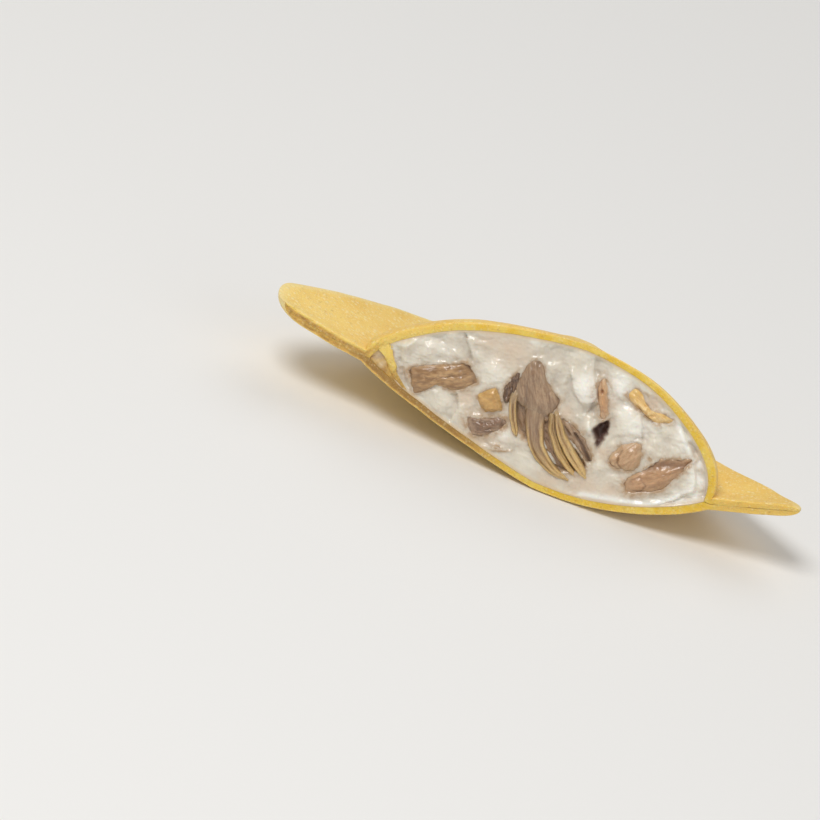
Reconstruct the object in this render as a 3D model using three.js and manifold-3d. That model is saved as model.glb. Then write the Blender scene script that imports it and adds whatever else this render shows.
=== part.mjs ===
// Half of a large stuffed ravioli, cut from corner to corner: two sheets of egg dough pressed
// together round a pocket of ricotta cream with pieces of mushroom in it.
// Millimetres. In the food's own frame the cut is the plane y = 0, x runs along it from the left
// tip to the right one, y goes back to the hidden corner, and z = 0 is the level of the tips.
import * as THREE from "three";
import { mergeVertices } from "three/addons/utils/BufferGeometryUtils.js";
import Module from "manifold-3d";

const wasm = await Module();
wasm.setup();

// Driving dimensions of the dough
const side = 50; // edge of the whole square
const cornerRound = 4.5;
const cutAheadLeft = 3.4; // the knife passes this far in front of the left corner
const cutAheadRight = 1;
const sheet = 0.8; // one rolled sheet
const gap = 0.3; // clearance between solids that touch
const rimEdge = 0.45; // thickness of one sheet at the pinched outer edge
const edgePower = 6; // how late the rim thins towards that edge
const pocketSide = 35.2; // square of the bulge inside the flat rim
const pocketRound = 6;
const pocketShift = 1; // the bulge sits this far to the right of the middle
const pocketBack = 1.5; // and this far behind the cut
const apexX = 3; // highest and lowest point of the cut, right of the middle
const crown = 10.9; // rise of the upper sheet above the rim
const belly = 6.08; // drop of the lower sheet below the rim
const sag = 2.85; // the rim's inner edge lies this far below its outer edge
const sagLean = 0.45; // more of it on the right, less on the left
const rimCurl = 0.75; // power of the rim's slope between the two
const rimCurlLean = 0.25;
const edgeWander = 0.35; // in and out along the hand-cut edge

// Stretches where the outer edge of the rim rises or droops: by how much, round which angle, how wide
const rimLifts = [
  { height: 0.5, centre: 170, spread: 16 },
  { height: -2, centre: 42, spread: 38 },
  { height: -0.8, centre: 122, spread: 16 },
];
const liftStart = 4; // the lifts begin over this distance behind the cut

// Shape of the two bulges, as the powers of a superellipse and how far each changes to the right
const upShape = { full: 1.56, fullLean: 0, steep: 0.56, steepLean: -0.09 };
const downShape = { full: 1.58, fullLean: 0.45, steep: 0.87, steepLean: 0.04 };

// How the food lies: it leans back on its belly, left tip a little higher
const leanBack = THREE.MathUtils.degToRad(13.5);
const leanRight = THREE.MathUtils.degToRad(1);
const press = 0.6; // depth of the flat that its weight makes in the belly
const pressBlend = 0.25; // round the edge of that flat
const contactX = 1; // middle of the flat
const contactY = 9;

// Resolution of the solids
const spokes = 34;
const pocketRings = [0, 0.2, 0.38, 0.54, 0.67, 0.78, 0.87, 0.94, 0.98, 1];
const rimRings = [0.15, 0.45, 0.8, 1];
const faceRows = 7;
const bladeSteps = 8;

// The two squares, which stand on their corners: the cut edge of the dough and the bulge in it
const diagonal = side * Math.SQRT2;
const edgeSquare = {
  middle: new THREE.Vector2(0, (cutAheadLeft + cutAheadRight) / 2),
  width: side,
  round: cornerRound,
  turn: Math.asin((cutAheadLeft - cutAheadRight) / diagonal),
};
const pocketSquare = {
  middle: new THREE.Vector2(pocketShift, pocketBack),
  width: pocketSide,
  round: pocketRound,
  turn: 0,
};

// Distance from a point to a square, negative inside it.
function squareDistance(point, { middle, width, round, turn }) {
  const turned = point.clone().rotateAround(middle, Math.PI / 4 + turn).sub(middle);
  const qx = Math.abs(turned.x) - width / 2 + round;
  const qy = Math.abs(turned.y) - width / 2 + round;
  const outside = Math.hypot(Math.max(qx, 0), Math.max(qy, 0));
  return outside + Math.min(Math.max(qx, qy), 0) - round;
}

// Reach of a square from the apex of the cut, in the direction of an angle.
function reach(angle, square) {
  let low = 0;
  let high = side;
  for (let i = 0; i < 40; i++) {
    const mid = (low + high) / 2;
    const x = apexX + mid * Math.cos(angle);
    const point = new THREE.Vector2(x, mid * Math.sin(angle));
    if (squareDistance(point, square) < 0) low = mid;
    else high = mid;
  }
  return low;
}

// Hand-made edges wander a little: waves round the edge, their phase and height.
const edgeWaves = [
  { count: 5, phase: 0.6, height: 1 },
  { count: 11, phase: 0, height: 0.6 },
];
const wander = (angle) =>
  edgeWaves.reduce((sum, w) => sum + w.height * Math.sin(w.count * angle + w.phase), 0);
const outline = (angle) =>
  reach(angle, edgeSquare) + edgeWander * wander(angle) * Math.sin(angle);
const pocket = (angle) => reach(angle, pocketSquare);

// A bulge that is 1 over the apex and 0 at its foot; its shape changes from left to right.
function bulge(angle, share, shape) {
  const power = shape.full + shape.fullLean * Math.cos(angle);
  const root = shape.steep + shape.steepLean * Math.cos(angle);
  return Math.pow(Math.max(0, 1 - Math.pow(Math.min(share, 1), power)), root);
}

// How far the outer edge of the rim stands above or below the level of the tips.
function rimLift(angle, edge) {
  const degrees = THREE.MathUtils.radToDeg(angle);
  const start = THREE.MathUtils.smoothstep(edge * Math.sin(angle), 0, liftStart);
  const rise = ({ height, centre, spread }) =>
    height * Math.exp(-Math.pow((degrees - centre) / spread, 2));
  return start * rimLifts.reduce((sum, lift) => sum + rise(lift), 0);
}

// Level of the seam between the two sheets.
function seam(angle, r) {
  const foot = pocket(angle);
  const edge = outline(angle);
  const across = Math.max(0, (r - foot) / (edge - foot));
  const drop = sag + sagLean * Math.cos(angle) * Math.min(1, r / foot);
  const curl = rimCurl + rimCurlLean * Math.cos(angle);
  const lift = rimLift(angle, edge) * Math.min(1, across);
  return lift - drop * Math.pow(Math.max(0, 1 - across), curl);
}

// Thickness of one sheet, which thins towards its outer edge.
function sheetAt(angle, r) {
  const foot = pocket(angle);
  const across = Math.max(0, (r - foot) / (outline(angle) - foot));
  return THREE.MathUtils.lerp(sheet, rimEdge, Math.pow(across, edgePower));
}

// The supporting plane, in the food's frame
const laid = new THREE.Matrix4()
  .makeRotationY(leanRight)
  .multiply(new THREE.Matrix4().makeRotationX(-leanBack));
const up = new THREE.Vector3(0, 0, 1).transformDirection(laid.clone().transpose());
const contactAngle = Math.atan2(contactY, contactX - apexX);
const contactReach = Math.hypot(contactY, contactX - apexX);
const contactZ = rawUnder(contactAngle, contactReach, 0, 0) + press;

function tableLevel(angle, r) {
  const x = apexX + r * Math.cos(angle);
  const y = r * Math.sin(angle);
  return contactZ - (up.x * (x - contactX) + up.y * (y - contactY)) / up.z;
}

// The larger of two levels, blended over a short stretch.
function softMax(a, b, blend) {
  const h = Math.max(blend - Math.abs(a - b), 0) / blend;
  return Math.max(a, b) + (h * h * blend) / 4;
}

// Upper face of a layer: inset narrows its bulge and drop lowers it.
function over(angle, r, inset, drop) {
  const foot = pocket(angle) - inset;
  const thick = sheetAt(angle, r);
  const rise = (crown + gap / 2) * bulge(angle, r / foot, upShape);
  return seam(angle, r) + thick - drop + rise;
}

// Lower face of a layer, before the table flattens it.
function rawUnder(angle, r, inset, lift) {
  const foot = pocket(angle) - inset;
  const thick = sheetAt(angle, r);
  const fall = belly * bulge(angle, r / foot, downShape);
  return seam(angle, r) - thick + lift - fall;
}

function under(angle, r, inset, lift) {
  return softMax(rawUnder(angle, r, inset, lift), tableLevel(angle, r) + lift, pressBlend);
}

// Levels of the faces of each layer; the walls of the pocket slope, so they are inset too.
const wallSlope = 0.95; // share of a sheet's thickness that counts sideways in them
const fillSpare = 1.3; // gaps between them and the cream
const sheetInset = sheet * wallSlope;
const fillInset = sheetInset + gap * fillSpare;
const fillEdge = 0.08; // half of the cream's thickness where it ends at the seam
const spareGap = 0.1; // more clearance over the middle of the cream
const topOuter = (angle, r) => over(angle, r, 0, 0);
const topInner = (angle, r) => {
  const low = seam(angle, r) + gap / 2;
  return Math.max(over(angle, r, sheetInset, sheetAt(angle, r)), low);
};
const bottomOuter = (angle, r) => under(angle, r, 0, 0);
const bottomInner = (angle, r) => {
  const high = seam(angle, r) - gap / 2;
  return Math.min(under(angle, r, sheetInset, sheetAt(angle, r)), high);
};
const clearance = (angle, r) => {
  const share = r / (pocket(angle) - fillInset);
  return (gap + spareGap) * (1 - share * share) - fillEdge;
};
const fillTop = (angle, r) => over(angle, r, fillInset, sheet + clearance(angle, r));
const fillBottom = (angle, r) => under(angle, r, fillInset, sheet + clearance(angle, r));

// Spokes stand closer together at the two tips and at the back corner.
const spokeCrowding = 0.55;
const spokeAngle = (i) => {
  const t = i / spokes;
  return Math.PI * (t - (spokeCrowding * Math.sin(4 * Math.PI * t)) / (4 * Math.PI));
};
const ringReach = (angle) => {
  const foot = pocket(angle);
  const edge = outline(angle);
  const inner = pocketRings.map((share) => share * foot);
  return [...inner, ...rimRings.map((share) => foot + share * (edge - foot))];
};
const fillReach = (angle) =>
  pocketRings.map((share) => share * (pocket(angle) - fillInset));

// Collects triangles and drops those that have closed up to nothing.
class Skin {
  constructor() {
    this.points = [];
  }
  triangle(a, b, c) {
    const corner = new THREE.Vector3().subVectors(b, a);
    const area = corner.cross(new THREE.Vector3().subVectors(c, a)).length();
    if (area > 1e-7) this.points.push(...a, ...b, ...c);
  }
  quad(a, b, c, d) {
    this.triangle(a, b, c);
    this.triangle(a, c, d);
  }
  solid() {
    const soup = new THREE.BufferGeometry().setAttribute(
      "position",
      new THREE.Float32BufferAttribute(this.points, 3),
    );
    return solidOf(soup);
  }
}

function solidOf(geometry) {
  const bare = geometry.index ? geometry.toNonIndexed() : geometry.clone();
  bare.deleteAttribute("normal");
  bare.deleteAttribute("uv");
  const merged = mergeVertices(bare, 1e-4);
  const mesh = new wasm.Mesh({
    numProp: 3,
    vertProperties: merged.attributes.position.array,
    triVerts: new Uint32Array(merged.index.array),
  });
  return new wasm.Manifold(mesh);
}

function geometryOf(solid) {
  const mesh = solid.getMesh();
  const made = new THREE.BufferGeometry();
  made.setAttribute("position", new THREE.BufferAttribute(mesh.vertProperties, 3));
  made.setIndex(new THREE.BufferAttribute(mesh.triVerts, 1));
  const flat = made.toNonIndexed();
  flat.computeVertexNormals();
  return flat;
}

// A layer between two faces over the fan of spokes and rings; rows divide its cut face,
// and relief moves that face back and forth.
function layer(topFace, bottomFace, reaches, rows, relief) {
  const skin = new Skin();
  const at = (angle, r, z) =>
    new THREE.Vector3(apexX + r * Math.cos(angle), r * Math.sin(angle), z);
  const angles = Array.from({ length: spokes + 1 }, (_, i) => spokeAngle(i));
  const tops = angles.map((a) => reaches(a).map((r) => at(a, r, topFace(a, r))));
  const bottoms = angles.map((a) => reaches(a).map((r) => at(a, r, bottomFace(a, r))));
  const last = tops[0].length - 1;
  for (let i = 0; i < spokes; i++) {
    for (let j = 0; j < last; j++) {
      skin.quad(tops[i][j], tops[i][j + 1], tops[i + 1][j + 1], tops[i + 1][j]);
      skin.quad(bottoms[i][j], bottoms[i + 1][j], bottoms[i + 1][j + 1], bottoms[i][j + 1]);
    }
    skin.quad(bottoms[i][last], bottoms[i + 1][last], tops[i + 1][last], tops[i][last]);
  }
  const leftTop = tops[spokes].slice(1).reverse();
  const leftBottom = bottoms[spokes].slice(1).reverse();
  const above = [...leftTop, ...tops[0]];
  const below = [...leftBottom, ...bottoms[0]];
  const column = (k) => {
    const atEnd = k === 0 || k === above.length - 1;
    return Array.from({ length: rows + 1 }, (_, row) => {
      const share = atEnd ? Math.min(row, 1) : row / rows;
      const point = new THREE.Vector3().lerpVectors(below[k], above[k], share);
      const free = relief && share > 0 && share < 1;
      point.y = free ? relief(point.x, point.z) : 0;
      return point;
    });
  };
  for (let k = 0; k < above.length - 1; k++) {
    const left = column(k);
    const right = column(k + 1);
    for (let row = 0; row < rows; row++) {
      skin.quad(left[row], right[row], right[row + 1], left[row + 1]);
    }
  }
  return skin.solid();
}

// Lumps of the cream on the cut face: how far it bulges there, a wide swell where two waves
// cross, and a finer wave; each wave runs this fast along x and z
const faceBulge = 0.35;
const wideLump = 0.3;
const wideWaves = [
  { alongX: 0.9, alongZ: 0.7, phase: 0 },
  { alongX: -0.4, alongZ: 1.1, phase: 2.57 },
];
const fineLump = 0.15;
const fineWave = { alongX: 2.3, alongZ: -1.7, phase: 0 };
const waveAt = ({ alongX, alongZ, phase }, x, z) => Math.sin(alongX * x + alongZ * z + phase);
const lumps = (x, z) => {
  const wide = waveAt(wideWaves[0], x, z) * waveAt(wideWaves[1], x, z);
  return -faceBulge - wideLump * wide - fineLump * waveAt(fineWave, x, z);
};

// An outline with each of its edges moved outwards.
function grownOutline(outlinePoints, grow) {
  const corners = outlinePoints.map(([x, z]) => new THREE.Vector2(x, z));
  const turn = THREE.ShapeUtils.area(corners) > 0 ? 1 : -1;
  const outwards = corners.map((corner, i) => {
    const edge = corners[(i + 1) % corners.length].clone().sub(corner).normalize();
    return new THREE.Vector2(edge.y * turn, -edge.x * turn);
  });
  return corners.map((corner, i) => {
    const before = outwards[(i + corners.length - 1) % corners.length];
    const after = outwards[i];
    const mitre = before.clone().add(after).divideScalar(1 + before.dot(after));
    return corner.clone().addScaledVector(mitre, grow);
  });
}

// A piece of mushroom with a rounded front: its outline in the plane of the cut is a closed
// curve through a few points. It grows by a margin when it is a cutter.
function chunkSolid({ outline: through, front, back }, grow) {
  const curve = new THREE.CatmullRomCurve3(
    through.map(([x, z]) => new THREE.Vector3(x, z, 0)),
    true,
    "catmullrom",
    chunkTension,
  );
  const points = curve.getPoints(2 * through.length).slice(0, -1);
  if (THREE.ShapeUtils.area(points) < 0) points.reverse();
  const flat = points.map((p) => [p.x, p.y]);
  const ring = (y, inset) =>
    grownOutline(flat, grow - inset).map((p) => new THREE.Vector3(p.x, y, p.y));
  const rings = [
    ring(back + grow, chunkEdge),
    ring(back - chunkEdge, 0),
    ring(front + chunkEdge, 0),
    ring(front - grow, chunkEdge),
  ];
  const skin = new Skin();
  for (let k = 0; k < rings.length - 1; k++) {
    rings[k].forEach((corner, i) => {
      const j = (i + 1) % flat.length;
      skin.quad(corner, rings[k][j], rings[k + 1][j], rings[k + 1][i]);
    });
  }
  const middleOf = (corners) =>
    corners.reduce((sum, p) => sum.add(p), new THREE.Vector3()).divideScalar(flat.length);
  const backRing = rings[0];
  const frontRing = rings[rings.length - 1];
  const backMiddle = middleOf(backRing);
  const frontMiddle = middleOf(frontRing).setY(front - grow - chunkDome);
  for (let i = 0; i < flat.length; i++) {
    const j = (i + 1) % flat.length;
    skin.triangle(frontMiddle, frontRing[i], frontRing[j]);
    skin.triangle(backMiddle, backRing[j], backRing[i]);
  }
  return skin.solid();
}

// A curved strip along a centre line, as wide as the first width at its start and the second
// at its end.
function blade(line, widths, front, back, grow) {
  const curve = new THREE.CatmullRomCurve3(
    line.map(([x, z]) => new THREE.Vector3(x, z, 0)),
  );
  const left = [];
  const right = [];
  for (let i = 0; i <= bladeSteps; i++) {
    const t = i / bladeSteps;
    const p = curve.getPointAt(t);
    const along = curve.getTangentAt(t);
    const half = THREE.MathUtils.lerp(widths[0], widths[1], t) / 2 + grow;
    const past = i === 0 ? -grow : i === bladeSteps ? grow : 0;
    const x = p.x + along.x * past;
    const z = p.y + along.y * past;
    left.push(new THREE.Vector2(x - along.y * half, z + along.x * half));
    right.unshift(new THREE.Vector2(x + along.y * half, z - along.x * half));
  }
  return stood(new THREE.Shape([...left, ...right]), front - grow, back + grow);
}

// Extrudes a shape drawn in x and z from the front to the back along y.
function stood(shape, front, back) {
  const geometry = new THREE.ExtrudeGeometry(shape, {
    depth: back - front,
    bevelEnabled: false,
  });
  geometry.rotateX(Math.PI / 2);
  geometry.translate(0, back, 0);
  return solidOf(geometry);
}

// The mushroom pieces: outlines in x and z, and how far each stands out of the cream
const chunkEdge = 0.3; // rounding of their edges
const chunkDome = 0.15; // how far the middle of the front stands out
const chunkTension = 0.35;
const chunks = {
  mushroom_slab_left: {
    outline: [[-15.6, -2.6], [-15.2, -1.4], [-12.6, 0.0], [-9.6, 1.4], [-8.4, 0.8],
      [-7.7, -0.5], [-9.4, -2.0], [-12.6, -3.2], [-14.6, -4.4]],
    front: -0.75,
    back: 3.6,
  },
  mushroom_cube: {
    outline: [[-6.9, -1.8], [-5.3, 0.1], [-3.75, -1.9], [-4.3, -3.0], [-6.2, -3.1]],
    front: -0.9,
    back: 2.4,
  },
  mushroom_strip: {
    outline: [[5.5, 5.6], [6.0, 6.2], [6.8, 5.6], [8.2, 2.0], [7.3, 1.7]],
    front: -0.5,
    back: 2.6,
  },
  mushroom_sliver: {
    outline: [[9.5, 5.2], [10.3, 6.1], [11.4, 5.2], [13.2, 4.3], [15.0, 4.0], [14.6, 3.5],
      [12.6, 3.5], [11.0, 4.3]],
    front: -0.5,
    back: 1.8,
  },
  mushroom_lump: {
    outline: [[10.1, -2.8], [10.5, -1.1], [11.8, -0.1], [13.1, 0.3], [13.6, -0.7],
      [13.7, -2.5], [12.6, -3.5], [11.0, -3.8]],
    front: -0.7,
    back: 3.4,
  },
  mushroom_slab_right: {
    outline: [[14.5, -2.3], [16.1, -0.5], [19.1, 0.6], [19.3, -1.2], [17.9, -3.3],
      [16.3, -4.5], [14.8, -5.6], [13.4, -5.9], [12.6, -4.6]],
    front: -0.7,
    back: 4.2,
  },
  mushroom_flake_low: {
    outline: [[-7.2, -4.9], [-5.6, -4.2], [-3.4, -3.9], [-2.9, -4.6], [-3.6, -5.5],
      [-5.9, -6.2]],
    front: -0.5,
    back: 2.2,
  },
};

// The slice of cap with its gills: the flesh at the top, and blades that fan out to the right
const gillBack = 3.2;
const capFlesh = {
  outline: [[-2.3, 5.2], [-3.4, 3.2], [-3.2, 1.2], [-1.4, -1.2], [1.0, -1.6],
    [2.6, -0.6], [2.4, 1.3], [0.3, 2.7], [-1.0, 4.3]],
  front: -0.8,
  back: gillBack,
};
const blades = [
  { line: [[-2.7, 1.5], [-2.5, -1.6], [-1.0, -4.2]], widths: [1.2, 0.8], front: -1.3 },
  { line: [[0.0, 0.0], [1.0, -3.6], [3.6, -6.2], [6.2, -6.9]], widths: [2.2, 0.6], front: -1.2 },
  { line: [[1.7, -0.2], [2.6, -2.4], [4.6, -4.8], [7.2, -6.1]], widths: [1.0, 0.6], front: -0.7 },
  { line: [[2.3, -0.4], [4.0, -2.0], [6.2, -3.8], [8.6, -5.2]], widths: [1.2, 0.9], front: -1.4 },
  { line: [[2.6, 0.0], [4.6, -0.9], [6.8, -2.4], [8.5, -4.1]], widths: [1.2, 0.7], front: -0.4 },
];

function gilledSlice(grow) {
  return blades.reduce(
    (joined, b) => joined.add(blade(b.line, b.widths, b.front, gillBack, grow)),
    chunkSolid(capFlesh, grow),
  );
}

// The hollow between pieces that shows dark at the right of the gills
const crevice = {
  outline: [[7.1, -0.2], [8.3, 1.3], [8.8, 0.2], [8.7, -1.6], [7.8, -1.0]],
  front: -2,
  back: 2.2,
};

const topSheet = layer(topOuter, topInner, ringReach, 1);
const bottomSheet = layer(bottomInner, bottomOuter, ringReach, 1);
const cream = layer(fillTop, fillBottom, fillReach, faceRows, lumps);

const doughMaterial = new THREE.MeshStandardMaterial({
  color: new THREE.Color(0.87, 0.68, 0.25),
  roughness: 0.62,
  metalness: 0,
});
const creamMaterial = new THREE.MeshStandardMaterial({
  color: new THREE.Color(0.85, 0.82, 0.76),
  roughness: 0.42,
  metalness: 0,
});
const mushroomMaterial = new THREE.MeshStandardMaterial({
  color: new THREE.Color(0.55, 0.4, 0.27),
  roughness: 0.45,
  metalness: 0,
});

const food = new THREE.Group();

function addNode(name, solid, material) {
  const mesh = new THREE.Mesh(geometryOf(solid), material);
  mesh.name = name;
  food.add(mesh);
}

let filling = cream.subtract(chunkSolid(crevice, 0));
for (const [name, chunk] of Object.entries(chunks)) {
  addNode(name, chunkSolid(chunk, 0), mushroomMaterial);
  filling = filling.subtract(chunkSolid(chunk, gap));
}
addNode("mushroom_gilled_slice", gilledSlice(0), mushroomMaterial);
filling = filling.subtract(gilledSlice(gap));

addNode("dough_top_sheet", topSheet, doughMaterial);
addNode("dough_bottom_sheet", bottomSheet, doughMaterial);
addNode("cream_filling", filling, creamMaterial);

// Lay the food on the table, with the origin under the middle of its box.
const part = new THREE.Group();
part.quaternion.setFromRotationMatrix(laid);
part.add(food);
const box = new THREE.Box3().setFromObject(part, true);
const middle = box.getCenter(new THREE.Vector3());
part.position.set(-middle.x, -middle.y, -box.min.z);

export default part;
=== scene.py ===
# Half of a large stuffed ravioli, cut from corner to corner, with ricotta cream and mushrooms.
# The food is worked out in millimetres in its own frame: the cut is the plane y = 0, x runs
# along it, y goes back to the hidden corner, and z = 0 is the level of the two tips.
import math

import bmesh
import bpy
from mathutils import Matrix, Vector, noise


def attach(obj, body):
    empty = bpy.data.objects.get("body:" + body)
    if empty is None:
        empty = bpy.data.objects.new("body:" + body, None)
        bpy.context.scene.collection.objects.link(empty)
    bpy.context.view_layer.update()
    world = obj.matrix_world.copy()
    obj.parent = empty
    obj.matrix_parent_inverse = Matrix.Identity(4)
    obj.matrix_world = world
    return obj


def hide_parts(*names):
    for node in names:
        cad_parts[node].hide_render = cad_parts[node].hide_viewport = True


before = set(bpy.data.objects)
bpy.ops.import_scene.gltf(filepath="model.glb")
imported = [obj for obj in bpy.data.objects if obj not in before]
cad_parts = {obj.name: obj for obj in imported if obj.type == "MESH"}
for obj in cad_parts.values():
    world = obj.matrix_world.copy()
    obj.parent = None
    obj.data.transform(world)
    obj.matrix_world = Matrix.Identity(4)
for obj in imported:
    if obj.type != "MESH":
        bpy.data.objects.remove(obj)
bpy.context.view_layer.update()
print("frame loaded")

dough = {
    "side": 50,  # edge of the whole square
    "cornerRound": 4.5,
    "cutAheadLeft": 3.4,  # the knife passes this far in front of the left corner
    "cutAheadRight": 1,
    "sheet": 0.8,
    "edgePower": 10,  # how late the rim rounds off
    "pocketSide": 35.2,
    "pocketRound": 6,
    "pocketMiddle": (1, 1.5),
    "apexX": 3,
    "crown": 11.05,
    "belly": 6.08,
    "sag": 2.85,
    "sagLean": 0.45,
    "sagPower": (0.75, 0.25),  # and its change to the right
    "rimLifts": [  # height, angle and spread along the rim
        (1.03, 168, 25), (-2.14, 51, 37), (-0.8, 122, 16), (0.29, 90, 25),
    ],
    "liftStart": 6,
    "edgeWaves": [(0.35, 5, 0.6), (0.21, 11, 0)],  # height, number and start of the natural edge's waves
    "upShape": (1.56, 0, 0.55, -0.10),  # powers of the bulge and their change to the right
    "downShape": (1.58, 0.45, 0.87, 0.04),
    "shoulders": [(0.6, 11.6, 6), (0.4, -12, 5)],  # height, place along the cut and spread
    "crestFall": 0.035,  # how much lower the crest is just behind the cut
    "crestFallFrom": (-5, 3),
    "crestFallDepth": 1.2,
    "undulation": 0.12,  # unevenness of the rolled sheets
    "undulationSizes": (6.5, 2.4),
    "undulationFine": 0.35,
    "undulationSeed": 3,
    "crack": 0.06,  # widest opening of the seam where it is cut
    "crackSize": 0.5,
    "crackShut": 0.12,
    "crackLeast": 0.005,
    "crackFrom": (8, 22),
    "crackEnd": 0.97,  # share of the rim where it is shut
    "knifeMarks": 0.05,
    "knifeRough": (2.5, -16, -22),  # how much rougher the cut of the left flap is, and where
    "cutRound": 0.13,  # how far the outer edges of the cut are rounded off
    "cutRoundWidth": 0.35,
    "spokes": 220,
    "spokeCrowding": 0.55,  # closer together at the two tips and at the back corner
    "pocketRings": 80,
    "pocketCrowding": 1.35,
    "rimRings": 34,
    "rimCrowding": 1.8,
    "cutRows": 9,
}

laid = {  # how the food lies on the table, as in the frame
    "leanBack": 13.5,
    "leanRight": 1,
    "press": 0.6,
    "pressBlend": 0.25,
    "contact": (1, 9),
    "place": (0.0043, -15.9439, 9.6688),
}

millimetre = 0.001
leanBack = Matrix.Rotation(-math.radians(laid["leanBack"]), 4, "X")
leaning = Matrix.Rotation(math.radians(laid["leanRight"]), 4, "Y") @ leanBack
placed = Matrix.Translation(Vector(laid["place"]) * millimetre)
toTable = placed @ leaning @ Matrix.Scale(millimetre, 4)
tableUp = leaning.to_3x3().transposed() @ Vector((0, 0, 1))


def mix(a, b, share):
    return a + (b - a) * share


def smoothStep(low, high, value):
    share = min(1, max(0, (value - low) / (high - low)))
    return share * share * (3 - 2 * share)


def noiseAt(x, z, seed):
    return noise.noise(Vector((x, z, seed)))


# Levels of the dough

diagonal = dough["side"] * math.sqrt(2)
cutMiddle = (dough["cutAheadLeft"] + dough["cutAheadRight"]) / 2
cutTurn = math.asin((dough["cutAheadLeft"] - dough["cutAheadRight"]) / diagonal)
innerInset = dough["sheet"] * 0.95  # how far the inner faces lie within the outer ones
edgeSquare = ((0, cutMiddle), dough["side"], dough["cornerRound"], cutTurn)
pocketSquare = (dough["pocketMiddle"], dough["pocketSide"], dough["pocketRound"], 0)


def squareDistance(x, y, square):  # the squares stand on their corners; negative inside
    middle, width, corner, turn = square
    angle = math.pi / 4 + turn
    px, py = x - middle[0], y - middle[1]
    qx = abs(px * math.cos(angle) - py * math.sin(angle)) - width / 2 + corner
    qy = abs(px * math.sin(angle) + py * math.cos(angle)) - width / 2 + corner
    return math.hypot(max(qx, 0), max(qy, 0)) + min(max(qx, qy), 0) - corner


def reachOf(angle, square):
    low, high = 0, dough["side"]
    for _ in range(40):
        mid = (low + high) / 2
        x = dough["apexX"] + mid * math.cos(angle)
        if squareDistance(x, mid * math.sin(angle), square) < 0:
            low = mid
        else:
            high = mid
    return low


def rimLift(angle, edge):
    start = smoothStep(0, dough["liftStart"], edge * math.sin(angle))
    degrees = math.degrees(angle)
    return start * sum(height * math.exp(-((degrees - centre) / spread) ** 2)
                       for height, centre, spread in dough["rimLifts"])


def makeSpoke(angle):
    wander = sum(height * math.sin(waves * angle + start) for height, waves, start in dough["edgeWaves"])
    edge = reachOf(angle, edgeSquare) + wander * math.sin(angle)
    foot = reachOf(angle, pocketSquare)
    return {"angle": angle, "foot": foot, "edge": edge, "lift": rimLift(angle, edge)}


def makeSpokes(count):
    angles = [math.pi * i / count for i in range(count + 1)]
    return [makeSpoke(angle - dough["spokeCrowding"] * math.sin(4 * angle) / 4) for angle in angles]


def acrossRim(spoke, r):
    return max(0, (r - spoke["foot"]) / (spoke["edge"] - spoke["foot"]))


def seamLevel(spoke, r):
    across = acrossRim(spoke, r)
    lean = math.cos(spoke["angle"])
    drop = dough["sag"] + dough["sagLean"] * lean * min(1, r / spoke["foot"])
    power, powerLean = dough["sagPower"]
    return spoke["lift"] * min(1, across) - drop * max(0, 1 - across) ** (power + powerLean * lean)


def thickness(spoke, r):
    return dough["sheet"] * math.sqrt(max(0, 1 - acrossRim(spoke, r) ** dough["edgePower"]))


def bulge(spoke, r, inset, shape):
    full, fullLean, steep, steepLean = shape
    lean = math.cos(spoke["angle"])
    share = min(1, r / (spoke["foot"] - inset))
    return max(0, 1 - share ** (full + fullLean * lean)) ** (steep + steepLean * lean)


def flatPlace(spoke, r):
    return dough["apexX"] + r * math.cos(spoke["angle"]), r * math.sin(spoke["angle"])


def undulation(spoke, r):
    x, y = flatPlace(spoke, r)
    seed = dough["undulationSeed"]
    sizes = dough["undulationSizes"]
    wide, fine = (noiseAt(x / size, y / size, seed + 5 * n) for n, size in enumerate(sizes))
    return dough["undulation"] * (wide + dough["undulationFine"] * fine)


def crackWidth(spoke, r):
    if acrossRim(spoke, r) >= dough["crackEnd"]:
        return 0
    x, y = flatPlace(spoke, r)
    size = dough["crackSize"]
    opening = noiseAt(x / size, y / size, 8.3) - dough["crackShut"]
    return dough["crack"] * max(dough["crackLeast"], opening * smoothStep(*dough["crackFrom"], x))


def underside(spoke, r, inset):
    fall = dough["belly"] * bulge(spoke, r, inset, dough["downShape"])
    return seamLevel(spoke, r) - thickness(spoke, r) - fall


def makeContact():
    x, y = laid["contact"]
    r = math.hypot(x - dough["apexX"], y)
    spoke = makeSpoke(math.atan2(y, x - dough["apexX"]))
    return Vector((x, y, underside(spoke, r, 0) + laid["press"]))


contact = makeContact()


def tableLevel(spoke, r):
    x, y = flatPlace(spoke, r)
    return contact.z - (tableUp.x * (x - contact.x) + tableUp.y * (y - contact.y)) / tableUp.z


def softMax(a, b, blend):
    h = max(blend - abs(a - b), 0) / blend
    return max(a, b) + h * h * blend / 4


def domeRise(spoke, r, inset):
    x, y = flatPlace(spoke, r)
    fall = dough["crestFall"] * smoothStep(*dough["crestFallFrom"], x)
    fall *= 1 - math.exp(-y / dough["crestFallDepth"])
    shoulder = sum(height * math.exp(-((x - centre) / spread) ** 2)
                   for height, centre, spread in dough["shoulders"])
    return (dough["crown"] * (1 - fall) + shoulder) * bulge(spoke, r, inset, dough["upShape"])


def roundingAt(spoke, r):
    near = max(0, 1 - flatPlace(spoke, r)[1] / dough["cutRoundWidth"])
    return dough["cutRound"] * near * near * thickness(spoke, r) / dough["sheet"]


def topOuter(spoke, r):
    rise = domeRise(spoke, r, 0) - roundingAt(spoke, r)
    return seamLevel(spoke, r) + thickness(spoke, r) + rise + undulation(spoke, r)


def topInner(spoke, r):
    level = seamLevel(spoke, r) + domeRise(spoke, r, innerInset) + undulation(spoke, r)
    return max(level, seamLevel(spoke, r) + crackWidth(spoke, r))


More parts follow.
